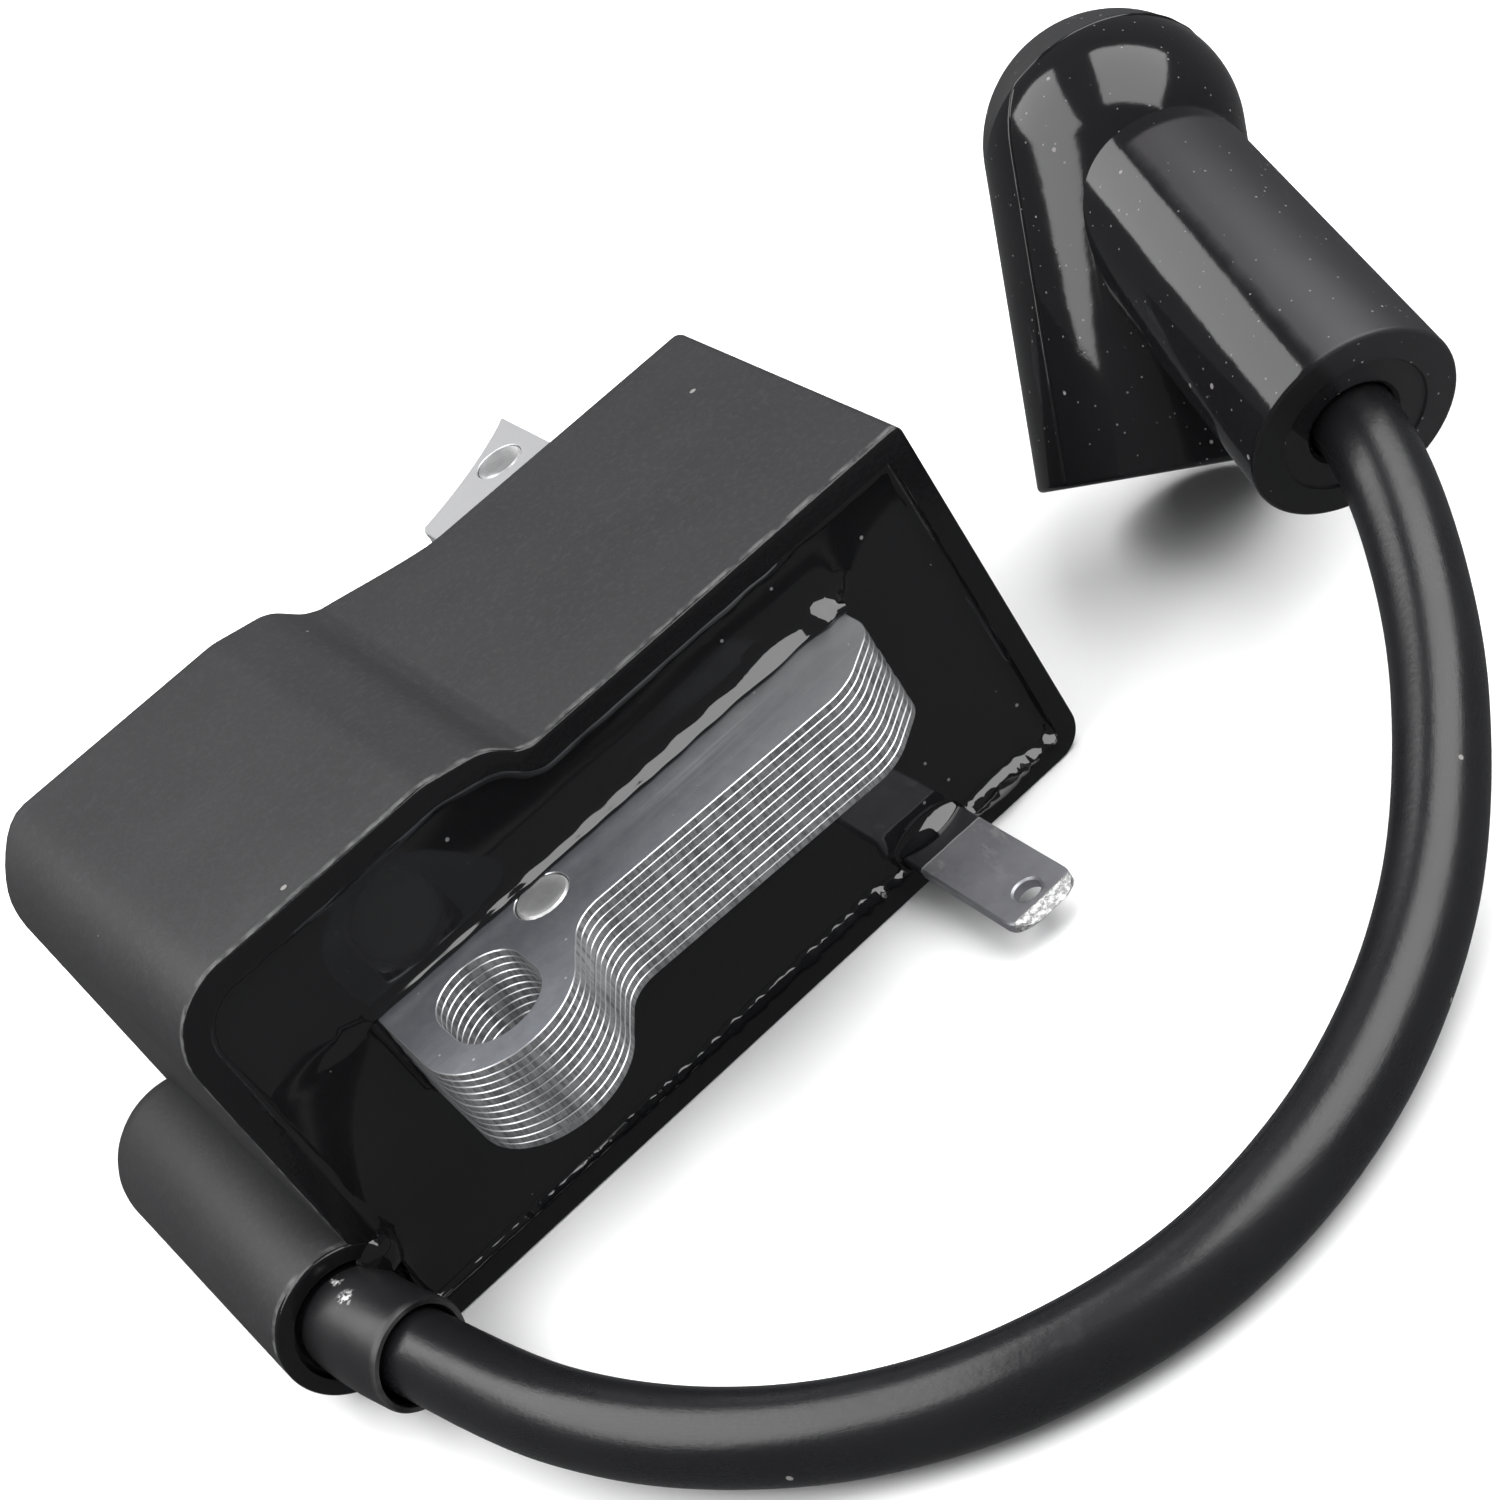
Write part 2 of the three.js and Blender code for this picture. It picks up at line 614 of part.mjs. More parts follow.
piece('circuit_board', extrudeZ(
  roundedBox(BOARD.x0, BOARD.y0, BOARD.x1, BOARD.y1, BOARD.round),
  BOARD.z0,
  BOARD_TOP,
), FINISHES.board);
piece('power_transistor', transistor(), FINISHES.component);
piece('trigger_thyristor', thyristor(), FINISHES.component);
piece('capacitor', capacitor(), FINISHES.component);
piece('gate_resistor', axialPart(GATE_RESISTOR), FINISHES.resistor);
piece('bias_resistor', axialPart(BIAS_RESISTOR), FINISHES.resistor);
piece('clamp_diode', axialPart(CLAMP_DIODE), FINISHES.component);

// ---- spade terminal -------------------------------------------------------------------------

function bladeShape() {
  const left = BLADE.x - BLADE.width / 2;
  const right = BLADE.x + BLADE.width / 2;
  const shape = new THREE.Shape([
    new THREE.Vector2(left + BLADE.cut, BLADE.tip),
    new THREE.Vector2(right - BLADE.cut, BLADE.tip),
    new THREE.Vector2(right, BLADE.tip + BLADE.cut),
    new THREE.Vector2(right, BLADE.root),
    new THREE.Vector2(left, BLADE.root),
    new THREE.Vector2(left, BLADE.tip + BLADE.cut),
  ]);
  shape.holes.push(circlePath(BLADE.x, BLADE.tip + BLADE.holeInset, BLADE.hole, 12));
  return shape;
}

piece('spade_terminal', extrudeZ(bladeShape(), BLADE.z0, BLADE.z0 + BLADE.thick), FINISHES.tin);

// ---- high tension outlet in the boss ----------------------------------------------------------

const leadCurve = new THREE.CatmullRomCurve3(LEAD_ROUTE.map(vector), false, 'centripetal');

piece('outlet_contact_cup', onBossAxis(turned([
  [0, CUP.start + CUP.boreDepth],
  [CUP.bore, CUP.start + CUP.boreDepth],
  [CUP.bore, CUP.start],
  [CUP.radius, CUP.start],
  [CUP.radius, CUP.start + CUP.length],
  [0, CUP.start + CUP.length],
], 16)), FINISHES.brass);
piece('lead_conductor_end', onBossAxis(turned([
  [0, CUP.start - CONDUCTOR.ahead],
  [CONDUCTOR.radius, CUP.start - CONDUCTOR.ahead],
  [CONDUCTOR.radius, CUP.start + CONDUCTOR.depth],
  [0, CUP.start + CONDUCTOR.depth],
], 10)), FINISHES.copper);

const wireCurve = new THREE.CatmullRomCurve3(WIRE_ROUTE.map(vector));
piece('high_tension_wire', tubeAlong(wireCurve, roundSection(WIRE_RADIUS, 8), 10), FINISHES.copper);

// ---- lead, its sleeve, and the boot -----------------------------------------------------------

piece('lead_jacket', tubeAlong(leadCurve, roundSection(LEAD_RADIUS, LEAD_SIDES), LEAD_STEPS), FINISHES.lead);

// The sleeve follows the lead from inside the boss to a ring shaped end outside it.
const sleeveCurve = new THREE.CatmullRomCurve3(SLEEVE_ROUTE.map(vector), false, 'centripetal');
piece('lead_sleeve', tubeAlong(
  sleeveCurve,
  roundSection(SLEEVE_OUTER_RADIUS, 16, SLEEVE_INNER_RADIUS),
  8,
), FINISHES.sleeve);

// The boot is built with its dome at the origin and turned solids along two axes.
function along(axis, geometry) {
  const turn = new THREE.Quaternion().setFromUnitVectors(new THREE.Vector3(0, 1, 0), vector(axis).normalize());
  return geometry.applyQuaternion(turn);
}

function capOutside() {
  const profile = [];
  const arcSteps = 8;
  for (let k = 0; k <= arcSteps; k += 1) {
    const angle = Math.PI / 2 * k / arcSteps;
    profile.push([CAP.radius * Math.sin(angle), -CAP.radius * Math.cos(angle)]);
  }
  profile.push([CAP.radius, CAP.length]);
  profile.push([0, CAP.length]);
  return along(PLUG_AXIS, turned(profile, 36));
}

function capBore() {
  const { bore, boreStart, length } = CAP;
  return along(PLUG_AXIS, turned([
    [0, boreStart],
    [bore, boreStart],
    [bore, length + 1],
    [0, length + 1],
  ], 28));
}

function cableSleeveOutside() {
  const { baseRadius, endRadius, length } = CABLE_SLEEVE;
  return along(CABLE_AXIS, turned([[0, 0], [baseRadius, 0], [endRadius, length], [0, length]], 36));
}

function cableSleeveBore() {
  const { bore, mouth, mouthDepth, length } = CABLE_SLEEVE;
  return along(CABLE_AXIS, turned([
    [0, 0],
    [bore, 0],
    [bore, length - mouthDepth],
    [mouth, length],
    [mouth, length + 1],
    [0, length + 1],
  ], 20));
}

boot.position.set(...BOOT_CENTRE);
piece('boot_body', combine(capOutside(), [cableSleeveOutside()], [capBore(), cableSleeveBore()]), FINISHES.boot, boot);

// The contact spring that grips the plug's tip: a plain helix on the cap's axis.
class Helix extends THREE.Curve {
  getPoint(t) {
    const angle = 2 * Math.PI * SPRING.turns * t;
    return new THREE.Vector3(
      SPRING.radius * Math.cos(angle),
      SPRING.start + (SPRING.end - SPRING.start) * t,
      SPRING.radius * Math.sin(angle),
    );
  }
}
piece('boot_contact_spring', along(
  PLUG_AXIS,
  tubeAlong(new Helix(), roundSection(SPRING.wire, 6), SPRING.turns * 12),
), FINISHES.tin, boot);

// ---- potting resin --------------------------------------------------------------------------

function resinBody() {
  const fill = common(
    caseVolume(WALL + RESIN_GAP),
    block(
      -LEFT_FLARE - 1,
      CASE_LENGTH + RIGHT_FLARE + 1,
      RESIN_RECESS,
      BULGE_DEPTH - WALL - RESIN_GAP,
      0,
      BULGE_HEIGHT,
    ),
  );
  const yokePocket = block(
    LOBE.x - LOBE.radius - CLEARANCE,
    CORE_MID_X + LEG_OUTER + CLEARANCE,
    -1,
    YOKE_BACK + CLEARANCE,
    CORE_BOTTOM - CLEARANCE,
    CORE_TOP + CLEARANCE,
  );
  const coilPocket = extrudeY(
    roundedBox(
      COIL_X - SECONDARY_FLANGE.halfX - CLEARANCE,
      COIL_Z - SECONDARY_FLANGE.halfZ - CLEARANCE,
      COIL_X + SECONDARY_FLANGE.halfX + CLEARANCE,
      COIL_Z + SECONDARY_FLANGE.halfZ + CLEARANCE,
      SECONDARY_FLANGE.round,
    ),
    PRIMARY_TUBE.y0 - CLEARANCE,
    PRIMARY_TUBE.y1 + CLEARANCE,
  );
  const boardPocket = block(
    BOARD.x0 - CLEARANCE,
    BOARD.x1 + CLEARANCE,
    BOARD.y0 - CLEARANCE,
    BOARD.y1 + CLEARANCE,
    BOARD.z0 - CLEARANCE,
    BOARD_TOP + BOARD_POCKET_HEIGHT,
  );
  const bladePassage = block(
    BLADE.x - BLADE.width / 2 - CLEARANCE,
    BLADE.x + BLADE.width / 2 + CLEARANCE,
    -1,
    BLADE.root + CLEARANCE,
    0,
    BOARD.z0 + 0.1,
  );
  const wirePassage = block(WIRE_PASSAGE.x0, WIRE_PASSAGE.x1, WINDOW.y0, WINDOW.y1, WIRE_PASSAGE.z0, WIRE_PASSAGE.z1);
  const legs = [-1, 1].map((side) => legPassage(side, 0, LEG_PASSAGE_END));
  return cut(fill, yokePocket, coilPocket, boardPocket, bladePassage, wirePassage, ...legs);
}

piece('potting_resin', resinBody(), FINISHES.resin);

// ---- origin: middle of the coil's own footprint, lead and boot left out -------------------------

const CORD_NODES = ['lead_jacket', 'lead_sleeve'];
const footprint = new THREE.Box3();
for (const mesh of coil.children) {
  if (!CORD_NODES.includes(mesh.name)) {
    footprint.expandByObject(mesh, true);
  }
}
const middle = footprint.getCenter(new THREE.Vector3());
const group = new THREE.Group();
group.add(coil, boot);
coil.position.set(-middle.x, -middle.y, -footprint.min.z);
boot.position.add(coil.position);

export default group;
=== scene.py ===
"""Looks of a small engine's ignition coil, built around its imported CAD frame.

Shapes are drawn in build millimetres, whose origin is the lower left corner of the case's open
face: X along the case, Y from the potted face towards the flywheel, Z up. row() turns a build
point into the frame's own metres.
"""
import bmesh
import bpy
import math
from mathutils import Matrix, Vector, noise
from mathutils.geometry import delaunay_2d_cdt


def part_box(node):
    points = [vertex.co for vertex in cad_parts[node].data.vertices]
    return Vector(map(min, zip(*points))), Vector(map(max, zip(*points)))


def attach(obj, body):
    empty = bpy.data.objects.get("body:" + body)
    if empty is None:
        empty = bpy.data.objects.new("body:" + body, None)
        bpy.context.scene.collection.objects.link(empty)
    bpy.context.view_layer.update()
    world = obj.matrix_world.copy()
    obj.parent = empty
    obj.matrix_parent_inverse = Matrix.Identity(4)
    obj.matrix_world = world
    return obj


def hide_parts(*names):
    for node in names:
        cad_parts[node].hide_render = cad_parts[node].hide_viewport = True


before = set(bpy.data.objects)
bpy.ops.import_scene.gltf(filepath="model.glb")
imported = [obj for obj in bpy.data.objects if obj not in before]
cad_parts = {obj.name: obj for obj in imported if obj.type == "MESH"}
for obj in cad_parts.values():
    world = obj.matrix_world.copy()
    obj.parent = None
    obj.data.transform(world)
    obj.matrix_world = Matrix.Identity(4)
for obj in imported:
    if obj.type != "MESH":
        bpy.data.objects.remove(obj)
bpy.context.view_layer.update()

# ---- sizes, in build millimetres ----------------------------------------------------------------

MM = 0.001

CASE_LENGTH = 52.0
CASE_HEIGHT = 25.0
BULGE_HEIGHT = 27.6
BULGE_FLAT_END = 18.8
STEP_X = 24.9
CASE_DEPTH = 28.0
BULGE_DEPTH = 32.0
FOOT_HEIGHT = 2.2  # the left end's large radius fades out above this height
RAMP_START = 22.6
RAMP_END = 32.2
WALL = 1.5
LEFT_FLARE = 1.8
RIGHT_FLARE = 0.6
ROOF_FALL = 0.45
BACK_ROUNDING = 1.3
LEFT_BACK_ROUNDING = 4.6
RIM_ROUNDING = 0.22
BOSS_SEAM_FILLET = 0.55

BOSS_NEAR = Vector((-2.35, 0.0, 4.75))
BOSS_FAR = Vector((-2.9, 22.5, 5.38))
BOSS_AXIS = (BOSS_FAR - BOSS_NEAR).normalized()
BOSS_NEAR_RADIUS = 4.75
BOSS_FAR_RADIUS = 5.38
BOSS_END_ROUNDING = 3.0
BOSS_BORE_RADIUS = 3.75
BOSS_BORE_DEPTH = 20.0

CORE_BOTTOM = 12.36
SHEET_COUNT = 12
SHEET_THICKNESS = 0.5
SHEET_PITCH = 0.52
SHEET_MISFIT = 0.025
SHEET_EDGE_BREAK = 0.055
CORE_TOP = CORE_BOTTOM + (SHEET_COUNT - 1) * SHEET_PITCH + SHEET_THICKNESS
CORE_MID_X = 26.15
LEG_INNER = 8.15
LEG_OUTER = 17.05
SHOE_OUTER = 18.25
SHOE_START = 31.0
SHOE_FULL = 36.0
YOKE_BACK = 4.2
FLYWHEEL_RADIUS = 29.3
FLYWHEEL_Y = 69.6
LOBE = (14.05, -6.3, 4.9)
YOKE_SLOT = (14.05, -5.5, 2.8, 0.9)
LEG_SLOT = (38.8, 33.6, 2.8, 0.9)
RIVETS = ((20.0, -1.7), (41.4, 41.8), (10.9, 41.8))
RIVET_RADIUS = 1.65
RIVET_HOLE_RADIUS = 1.72

BLADE_X = 40.75
BLADE_WIDTH = 4.75
BLADE_THICK = 0.8
BLADE_BOTTOM = 1.7
BLADE_TIP = -12.0
BLADE_ROOT = 6.0
BLADE_CUT = 1.0
BLADE_HOLE = 0.85
COIN_LENGTH = 0.95
COIN_DEPTH = 0.31
BLADE_EDGE_BREAK = 0.09
FILM_EDGE = -1.5  # the resin film on the blade begins here
BLADE_HOLE_INSET = 2.3

RESIN_BACK = 0.79
RESIN_LEVEL = 0.68
WALL_FILLET = 0.55
CORE_FILLET = 0.5
CORE_TOP_FILLET = 1.02
BLADE_FILLET = 1.0
DRAWN_UP = 0.7  # how far the pool as a whole climbs over the core, and how wide that is
DRAWN_REACH = 1.9
POOL_WAVE = 0.06
DULL_RESIN = (13.4, 0.5, 22.3)
BLACK = (0.005, 0.005, 0.0055)
# Lumps where the resin gathered: centre (x, z), radius and height.
RESIN_LUMPS = (
    ((37.6, 2.4), 0.6, 0.4),
    ((49.3, 2.2), 0.8, 0.35),
    ((1.9, 6.3), 1.3, 0.5),
    ((42.0, 19.3), 0.6, 0.45),
    ((43.4, 18.9), 0.45, 0.5),
)

SLEEVE_OUTER = 3.3
SLEEVE_INNER = 2.8
GLUE_SPOTS = (((-2.0, -2.1, 7.9), 0.0007), ((-1.7, -0.4, 8.0), 0.0005))
SLEEVE_ROUTE = (
    (-2.45, 5.0, 4.88), (-2.3, 0.0, 4.75), (-1.75, -3.0, 4.55), (-0.95, -5.9, 4.35),
)

LEAD_RADIUS = 2.5
LEAD_ROUTE = (
    (-2.56, 9.0, 4.99), (-2.45, 5.0, 4.88), (-2.3, 0.0, 4.75), (-0.9, -5.7, 4.35),
    (2.4, -17.0, 4.0), (6.7, -24.6, 3.3), (12.6, -31.2, 2.75), (20.0, -36.4, 2.65),
    (29.5, -39.3, 2.65), (40.1, -38.3, 2.9), (50.6, -33.8, 4.1), (60.0, -26.6, 6.8),
    (66.2, -19.6, 9.4), (70.2, -13.2, 11.8), (72.1, -7.3, 13.87), (75.0, 2.25, 17.15),
)

BOOT_CENTRE = Vector((78.68, 14.48, 21.36))
PLUG_AXIS = Vector((-0.509, -0.328, -0.796)).normalized()
CABLE_AXIS = Vector((-0.275, -0.909, -0.312)).normalized()
CAP_RADIUS = 8.05
CAP_LENGTH = 20.5
CAP_BORE = 5.8
CAP_BORE_START = 1.5
CABLE_BASE_RADIUS = 5.85
CABLE_END_RADIUS = 6.5
CABLE_LENGTH = 28.8
CABLE_BORE = 2.6
CABLE_MOUTH = 2.62
CABLE_GROOVE = 4.55
SEAM_OFFSET = -1.75
SEAM_SINK = 0.05
FLASH_RADIUS = 0.14
CUFF_FILLET = 0.16
BAND_EDGE = (-0.28, -0.24, 0.93)

# The build origin in the frame, found from the terminal's own box.
blade_low, blade_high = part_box("spade_terminal")
ORIGIN = Vector((
    blade_high.x - (BLADE_X + BLADE_WIDTH / 2) * MM,
    blade_low.y - BLADE_TIP * MM,
    blade_low.z - BLADE_BOTTOM * MM,
))


def row(point):
    """A build point, in millimetres, in the frame's metres."""
    return Vector(point) * MM + ORIGIN


# ---- mesh helpers -------------------------------------------------------------------------------

def rounded_outline(corners, arc_steps=8):
    """Points round a polygon whose (x, y, radius) corners are rounded."""
    points = []
    count = len(corners)
    for i in range(count):
        here = Vector(corners[i][:2])
        before = (Vector(corners[i - 1][:2]) - here).normalized()
        after = (Vector(corners[(i + 1) % count][:2]) - here).normalized()
        radius = corners[i][2]
        if radius <= 0:
            points.append(here)
            continue
        half = before.angle(after) / 2
        reach = radius / math.tan(half)
        centre = here + (before + after).normalized() * radius / math.sin(half)
        start = here + before * reach - centre
        end = here + after * reach - centre
        sweep = math.atan2(start.x * end.y - start.y * end.x, start.dot(end))
        for k in range(arc_steps + 1):
            turn = Matrix.Rotation(sweep * k / arc_steps, 2)
            points.append(centre + turn @ start)
    return points


def arc(steps, turn=math.pi / 2):
    """Cosine and sine of every angle from 0 to a turn."""
    return [(math.cos(turn * k / steps), math.sin(turn * k / steps)) for k in range(steps + 1)]


def circle_points(x, y, radius, sides):
    return [Vector((x + radius * c, y + radius * s)) for c, s in arc(sides, math.tau)[:-1]]


def slot_points(slot, arc_steps=16):
    """Outline of a slot whose straight stretch runs along Y."""
    x, y, radius, travel = slot
    return [
        Vector((x + end * radius * c, y + end * (travel + radius * s)))
        for end in (1, -1) for c, s in arc(arc_steps, math.pi)
    ]


def add_object(name, data):
    obj = bpy.data.objects.new(name, data)
    bpy.context.scene.collection.objects.link(obj)
    return obj


def mesh_object(name, verts, faces):
    """A new object from build millimetres; it is turned into row metres by place()."""
    mesh = bpy.data.meshes.new(name)
    mesh.from_pydata([tuple(v) for v in verts], [], faces)
    mesh.validate()
    mesh.update()
    return add_object(name, mesh)


def bmesh_object(name, bm):
    mesh = bpy.data.meshes.new(name)
    bmesh.ops.recalc_face_normals(bm, faces=bm.faces)
    bm.to_mesh(mesh)
    bm.free()
    return add_object(name, mesh)


def bake_modifiers(obj):
    """Applies the modifiers that are on an object."""
    graph = bpy.context.evaluated_depsgraph_get()
    baked = bpy.data.meshes.new_from_object(obj.evaluated_get(graph))
    obj.modifiers.clear()
    old = obj.data
    obj.data = baked
    bpy.data.meshes.remove(old)
    return obj


def boolean(target, tool, operation="DIFFERENCE"):
    modifier = target.modifiers.new("cut", "BOOLEAN")
    modifier.operation = operation
    modifier.solver = "EXACT"
    modifier.object = tool
    bpy.context.view_layer.update()
    bake_modifiers(target)
    bpy.data.objects.remove(tool, do_unlink=True)


def loft(rings):
    """Vertices and faces of an open sleeve through rings of equal length."""
    count = len(rings[0])
    verts = [v for ring in rings for v in ring]
    faces = []
    for first in range(0, (len(rings) - 1) * count, count):
        for a, b in edge_loop(first, count):
            faces.append((a, b, b + count, a + count))
    return verts, faces


def edge_loop(first, count):
    """Index pairs round a closed loop of count points."""
    return [(first + i, first + (i + 1) % count) for i in range(count)]


def triangulate(outlines, extra, keep):
    """Points and triangles between closed outlines, where keep(middle of the triangle) is true."""
    points = []
    edges = []
    for outline in outlines:
        edges.extend(edge_loop(len(points), len(outline)))
        points.extend(outline)
    flat, _, tris, _, _, _ = delaunay_2d_cdt(points + extra, edges, [], 0, 1e-6)
    return flat, [tuple(t) for t in tris if keep(sum((flat[i] for i in t), Vector((0, 0))) / 3)]


def two_sided(tris, count):
    """Triangles of a front, and the same reversed on a back whose points follow count later."""
    return tris + [tuple(count + i for i in reversed(t)) for t in tris]


def slab(name, front, back, tris):
    """A closed object: a triangulated front, the same back, and walls along every border."""
    count = len(front)
    border = {(a, b) for t in tris for a, b in zip(t, t[1:] + t[:1])}
    faces = two_sided(tris, count)
    faces += [(b, a, count + a, count + b) for a, b in border if (b, a) not in border]
    used = sorted({i for face in faces for i in face})
    number = {old: new for new, old in enumerate(used)}
    verts = front + back
    faces = [tuple(number[i] for i in face) for face in faces]
    return tidy_normals(mesh_object(name, [verts[i] for i in used], faces))


def rework(obj, weld, change=None):
    """Welds close vertices, makes a change if one is given, and turns every face outwards."""
    bm = bmesh.new()
    bm.from_mesh(obj.data)
    bmesh.ops.remove_doubles(bm, verts=bm.verts, dist=weld)
    if change:
        change(bm)
    bmesh.ops.recalc_face_normals(bm, faces=bm.faces)
    bm.to_mesh(obj.data)
    bm.free()
    return obj


def tidy_normals(obj):
    return rework(obj, 1e-5)


def turned(name, profile, sides, axis, centre=Vector((0, 0, 0))):
    """A closed solid of revolution; the profile is (radius, distance along the axis) pairs."""
    turn = Vector((0, 1, 0)).rotation_difference(axis).to_matrix()
    bm = bmesh.new()
    rings = []
    for radius, along in profile:
        around = arc(sides, math.tau)[:-1] if radius > 1e-6 else [(0, 0)]
        rings.append([
            bm.verts.new(turn @ Vector((radius * c, along, radius * s)) + centre) for c, s in around
        ])
    if len(rings[0]) > 1:
        rings.append(rings[0])
    for first, second in zip(rings, rings[1:]):
        for i, j in edge_loop(0, sides):
            here, there = len(first), len(second)
            corners = (first[i % here], first[j % here], second[j % there], second[i % there])
            unique = list(dict.fromkeys(corners))
            if len(unique) > 2:
                bm.faces.new(unique)
    return bmesh_object(name, bm)


def block(name, low, high):
    bm = bmesh.new()
    bmesh.ops.create_cube(bm, size=1.0)
    size = Vector(high) - Vector(low)
    middle = (Vector(high) + Vector(low)) / 2
    for v in bm.verts:
        v.co = Vector((v.co.x * size.x, v.co.y * size.y, v.co.z * size.z)) + middle
    return bmesh_object(name, bm)


def spline(points, samples):
    """Evenly spaced points on a centripetal Catmull-Rom curve, with their tangents."""
    knots = [Vector(p) for p in points]
    ends = [knots[0] * 2 - knots[1], *knots, knots[-1] * 2 - knots[-2]]
    dense = []
    for i in range(1, len(ends) - 2):
        p0, p1, p2, p3 = ends[i - 1:i + 3]
        t1 = math.sqrt((p1 - p0).length)
        t2 = t1 + math.sqrt((p2 - p1).length)
        t3 = t2 + math.sqrt((p3 - p2).length)
        for k in range(40):
            t = t1 + (t2 - t1) * k / 40
            a1 = p0.lerp(p1, t / t1)
            a2 = p1.lerp(p2, (t - t1) / (t2 - t1))
            a3 = p2.lerp(p3, (t - t2) / (t3 - t2))
            dense.append(a1.lerp(a2, t / t2).lerp(a2.lerp(a3, (t - t1) / (t3 - t1)), (t - t1) / (t2 - t1)))
    dense.append(knots[-1])
    lengths = [0.0]
    for a, b in zip(dense, dense[1:]):
        lengths.append(lengths[-1] + (b - a).length)
    points_out = []
    index = 0
    for k in range(samples + 1):
        target = lengths[-1] * k / samples
        while index < len(dense) - 2 and lengths[index + 1] < target:
            index += 1
        share = (target - lengths[index]) / max(lengths[index + 1] - lengths[index], 1e-9)
        points_out.append(dense[index].lerp(dense[index + 1], min(max(share, 0.0), 1.0)))
    tangents = []
    for k in range(samples + 1):
        before = points_out[max(k - 1, 0)]
        after = points_out[min(k + 1, samples)]
        tangents.append((after - before).normalized())
    return points_out, tangents


def swept_tube(name, centres, tangents, radius_at, sides, inner_at=None):
    """A tube along centres, with a UV map: U round it and V along it in millimetres."""
    bm = bmesh.new()
    uv = bm.loops.layers.uv.new("along")
    side = tangents[0].cross(Vector((0, 0, 1))).normalized()
    frames = []
    for tangent in tangents:
        side = (side - tangent * side.dot(tangent)).normalized()
        frames.append((side.copy(), tangent.cross(side)))
    travelled = [0.0]
    for a, b in zip(centres, centres[1:]):
        travelled.append(travelled[-1] + (b - a).length)

    def ring(k, radius):
        across, up = frames[k]
        around = arc(sides, math.tau)[:-1]
        return [bm.verts.new(centres[k] + (across * c + up * s) * radius) for c, s in around]

    def skin(rings, flip):
        for k in range(len(rings) - 1):
            for i in range(sides):
                j = (i + 1) % sides
                corners = [(k, i, i), (k, j, i + 1), (k + 1, j, i + 1), (k + 1, i, i)]
                if flip:
                    corners.reverse()
                face = bm.faces.new([rings[a][b] for a, b, _ in corners])
                for loop, (a, _, u) in zip(face.loops, corners):
                    loop[uv].uv = (u / sides, travelled[a])

    last = len(centres) - 1
    outer = [ring(k, radius_at(k / last)) for k in range(last + 1)]
    skin(outer, False)
    if inner_at:
        inner = [ring(k, inner_at(k / last)) for k in range(last + 1)]
        skin(inner, True)
        for k in (0, last):
            for i, j in edge_loop(0, sides):
                bm.faces.new([outer[k][i], outer[k][j], inner[k][j], inner[k][i]])
    else:
        bm.faces.new(outer[0])
        bm.faces.new(outer[-1])
    return bmesh_object(name, bm)


def place(obj, material, replaces, smooth_angle):
    """Finishes a piece: metres in the frame, smooth shading, material and body, and hides the parts it
    replaces.
    """
    obj.data.transform(Matrix.Translation(ORIGIN) @ Matrix.Scale(MM, 4))
    obj.data.materials.clear()
    obj.data.materials.append(material)
    for polygon in obj.data.polygons:
        polygon.use_smooth = True
        polygon.material_index = 0
    obj.data.set_sharp_from_angle(angle=math.radians(smooth_angle))
    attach(obj, "root")
    if replaces:
        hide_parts(*replaces)
    return obj


# ---- node helpers -------------------------------------------------------------------------------

class Nodes:
    """A node tree, with a short way to add each kind of node. An input is a number or a socket."""

    def __init__(self, tree):
        self.tree = tree

    def feed(self, node, inputs):
        for key, value in inputs.items():
            if isinstance(value, bpy.types.NodeSocket):
                self.tree.links.new(value, node.inputs[key])
            else:
                node.inputs[key].default_value = value

    def add(self, kind, inputs=None, **settings):
        node = self.tree.nodes.new(kind)
        for name, value in settings.items():
            setattr(node, name, value)
        self.feed(node, inputs or {})
        return node

    def math(self, operation, first, second=0.0, clamp=False):
        inputs = {0: first, 1: second}
        return self.add("ShaderNodeMath", inputs, operation=operation, use_clamp=clamp).outputs[0]

    def times(self, first, second):
        return self.math("MULTIPLY", first, second)

    def less(self, first, second):
        """The difference, kept between 0 and 1."""
        return self.math("SUBTRACT", first, second, clamp=True)

    def vector(self, operation, first, second, output="Vector"):
        inputs = {0: first, 1: second}
        return self.add("ShaderNodeVectorMath", inputs, operation=operation).outputs[output]

    def ramp(self, value, low, high, to_low=0.0, to_high=1.0):
        inputs = {"Value": value, "From Min": low, "From Max": high, "To Min": to_low, "To Max": to_high}
        return self.add("ShaderNodeMapRange", inputs).outputs["Result"]

    def noise(self, vector, scale, detail, roughness):
        inputs = {"Vector": vector, "Scale": scale, "Detail": detail, "Roughness": roughness}
        return self.add("ShaderNodeTexNoise", inputs).outputs["Fac"]

    def part(self, vector, letter):
        return self.add("ShaderNodeSeparateXYZ", {"Vector": vector}).outputs[letter]


def new_group(name, kind, inputs, outputs):
    """A node group with sockets given as (label, type) or (label, type, default)."""
    tree = bpy.data.node_groups.new(name, kind)
    for direction, sockets in (("INPUT", inputs), ("OUTPUT", outputs)):
        for label, socket_type, *default in sockets:
            socket = tree.interface.new_socket(
                label, in_out=direction, socket_type="NodeSocket" + socket_type,
            )
            if default:
                socket.default_value = default[0]
    nodes = Nodes(tree)
    return nodes, nodes.add("NodeGroupInput").outputs, nodes.add("NodeGroupOutput")


def shader_group(name, inputs, outputs=("Mask",)):
    """A shader group that is sampled at a vector; every other socket is a value."""
    inputs = [(label, "Vector" if isinstance(value, tuple) else "Float", value) for label, value in inputs]
    return new_group(
        name, "ShaderNodeTree", [("Vector", "Vector"), *inputs], [(label, "Float") for label in outputs],
    )


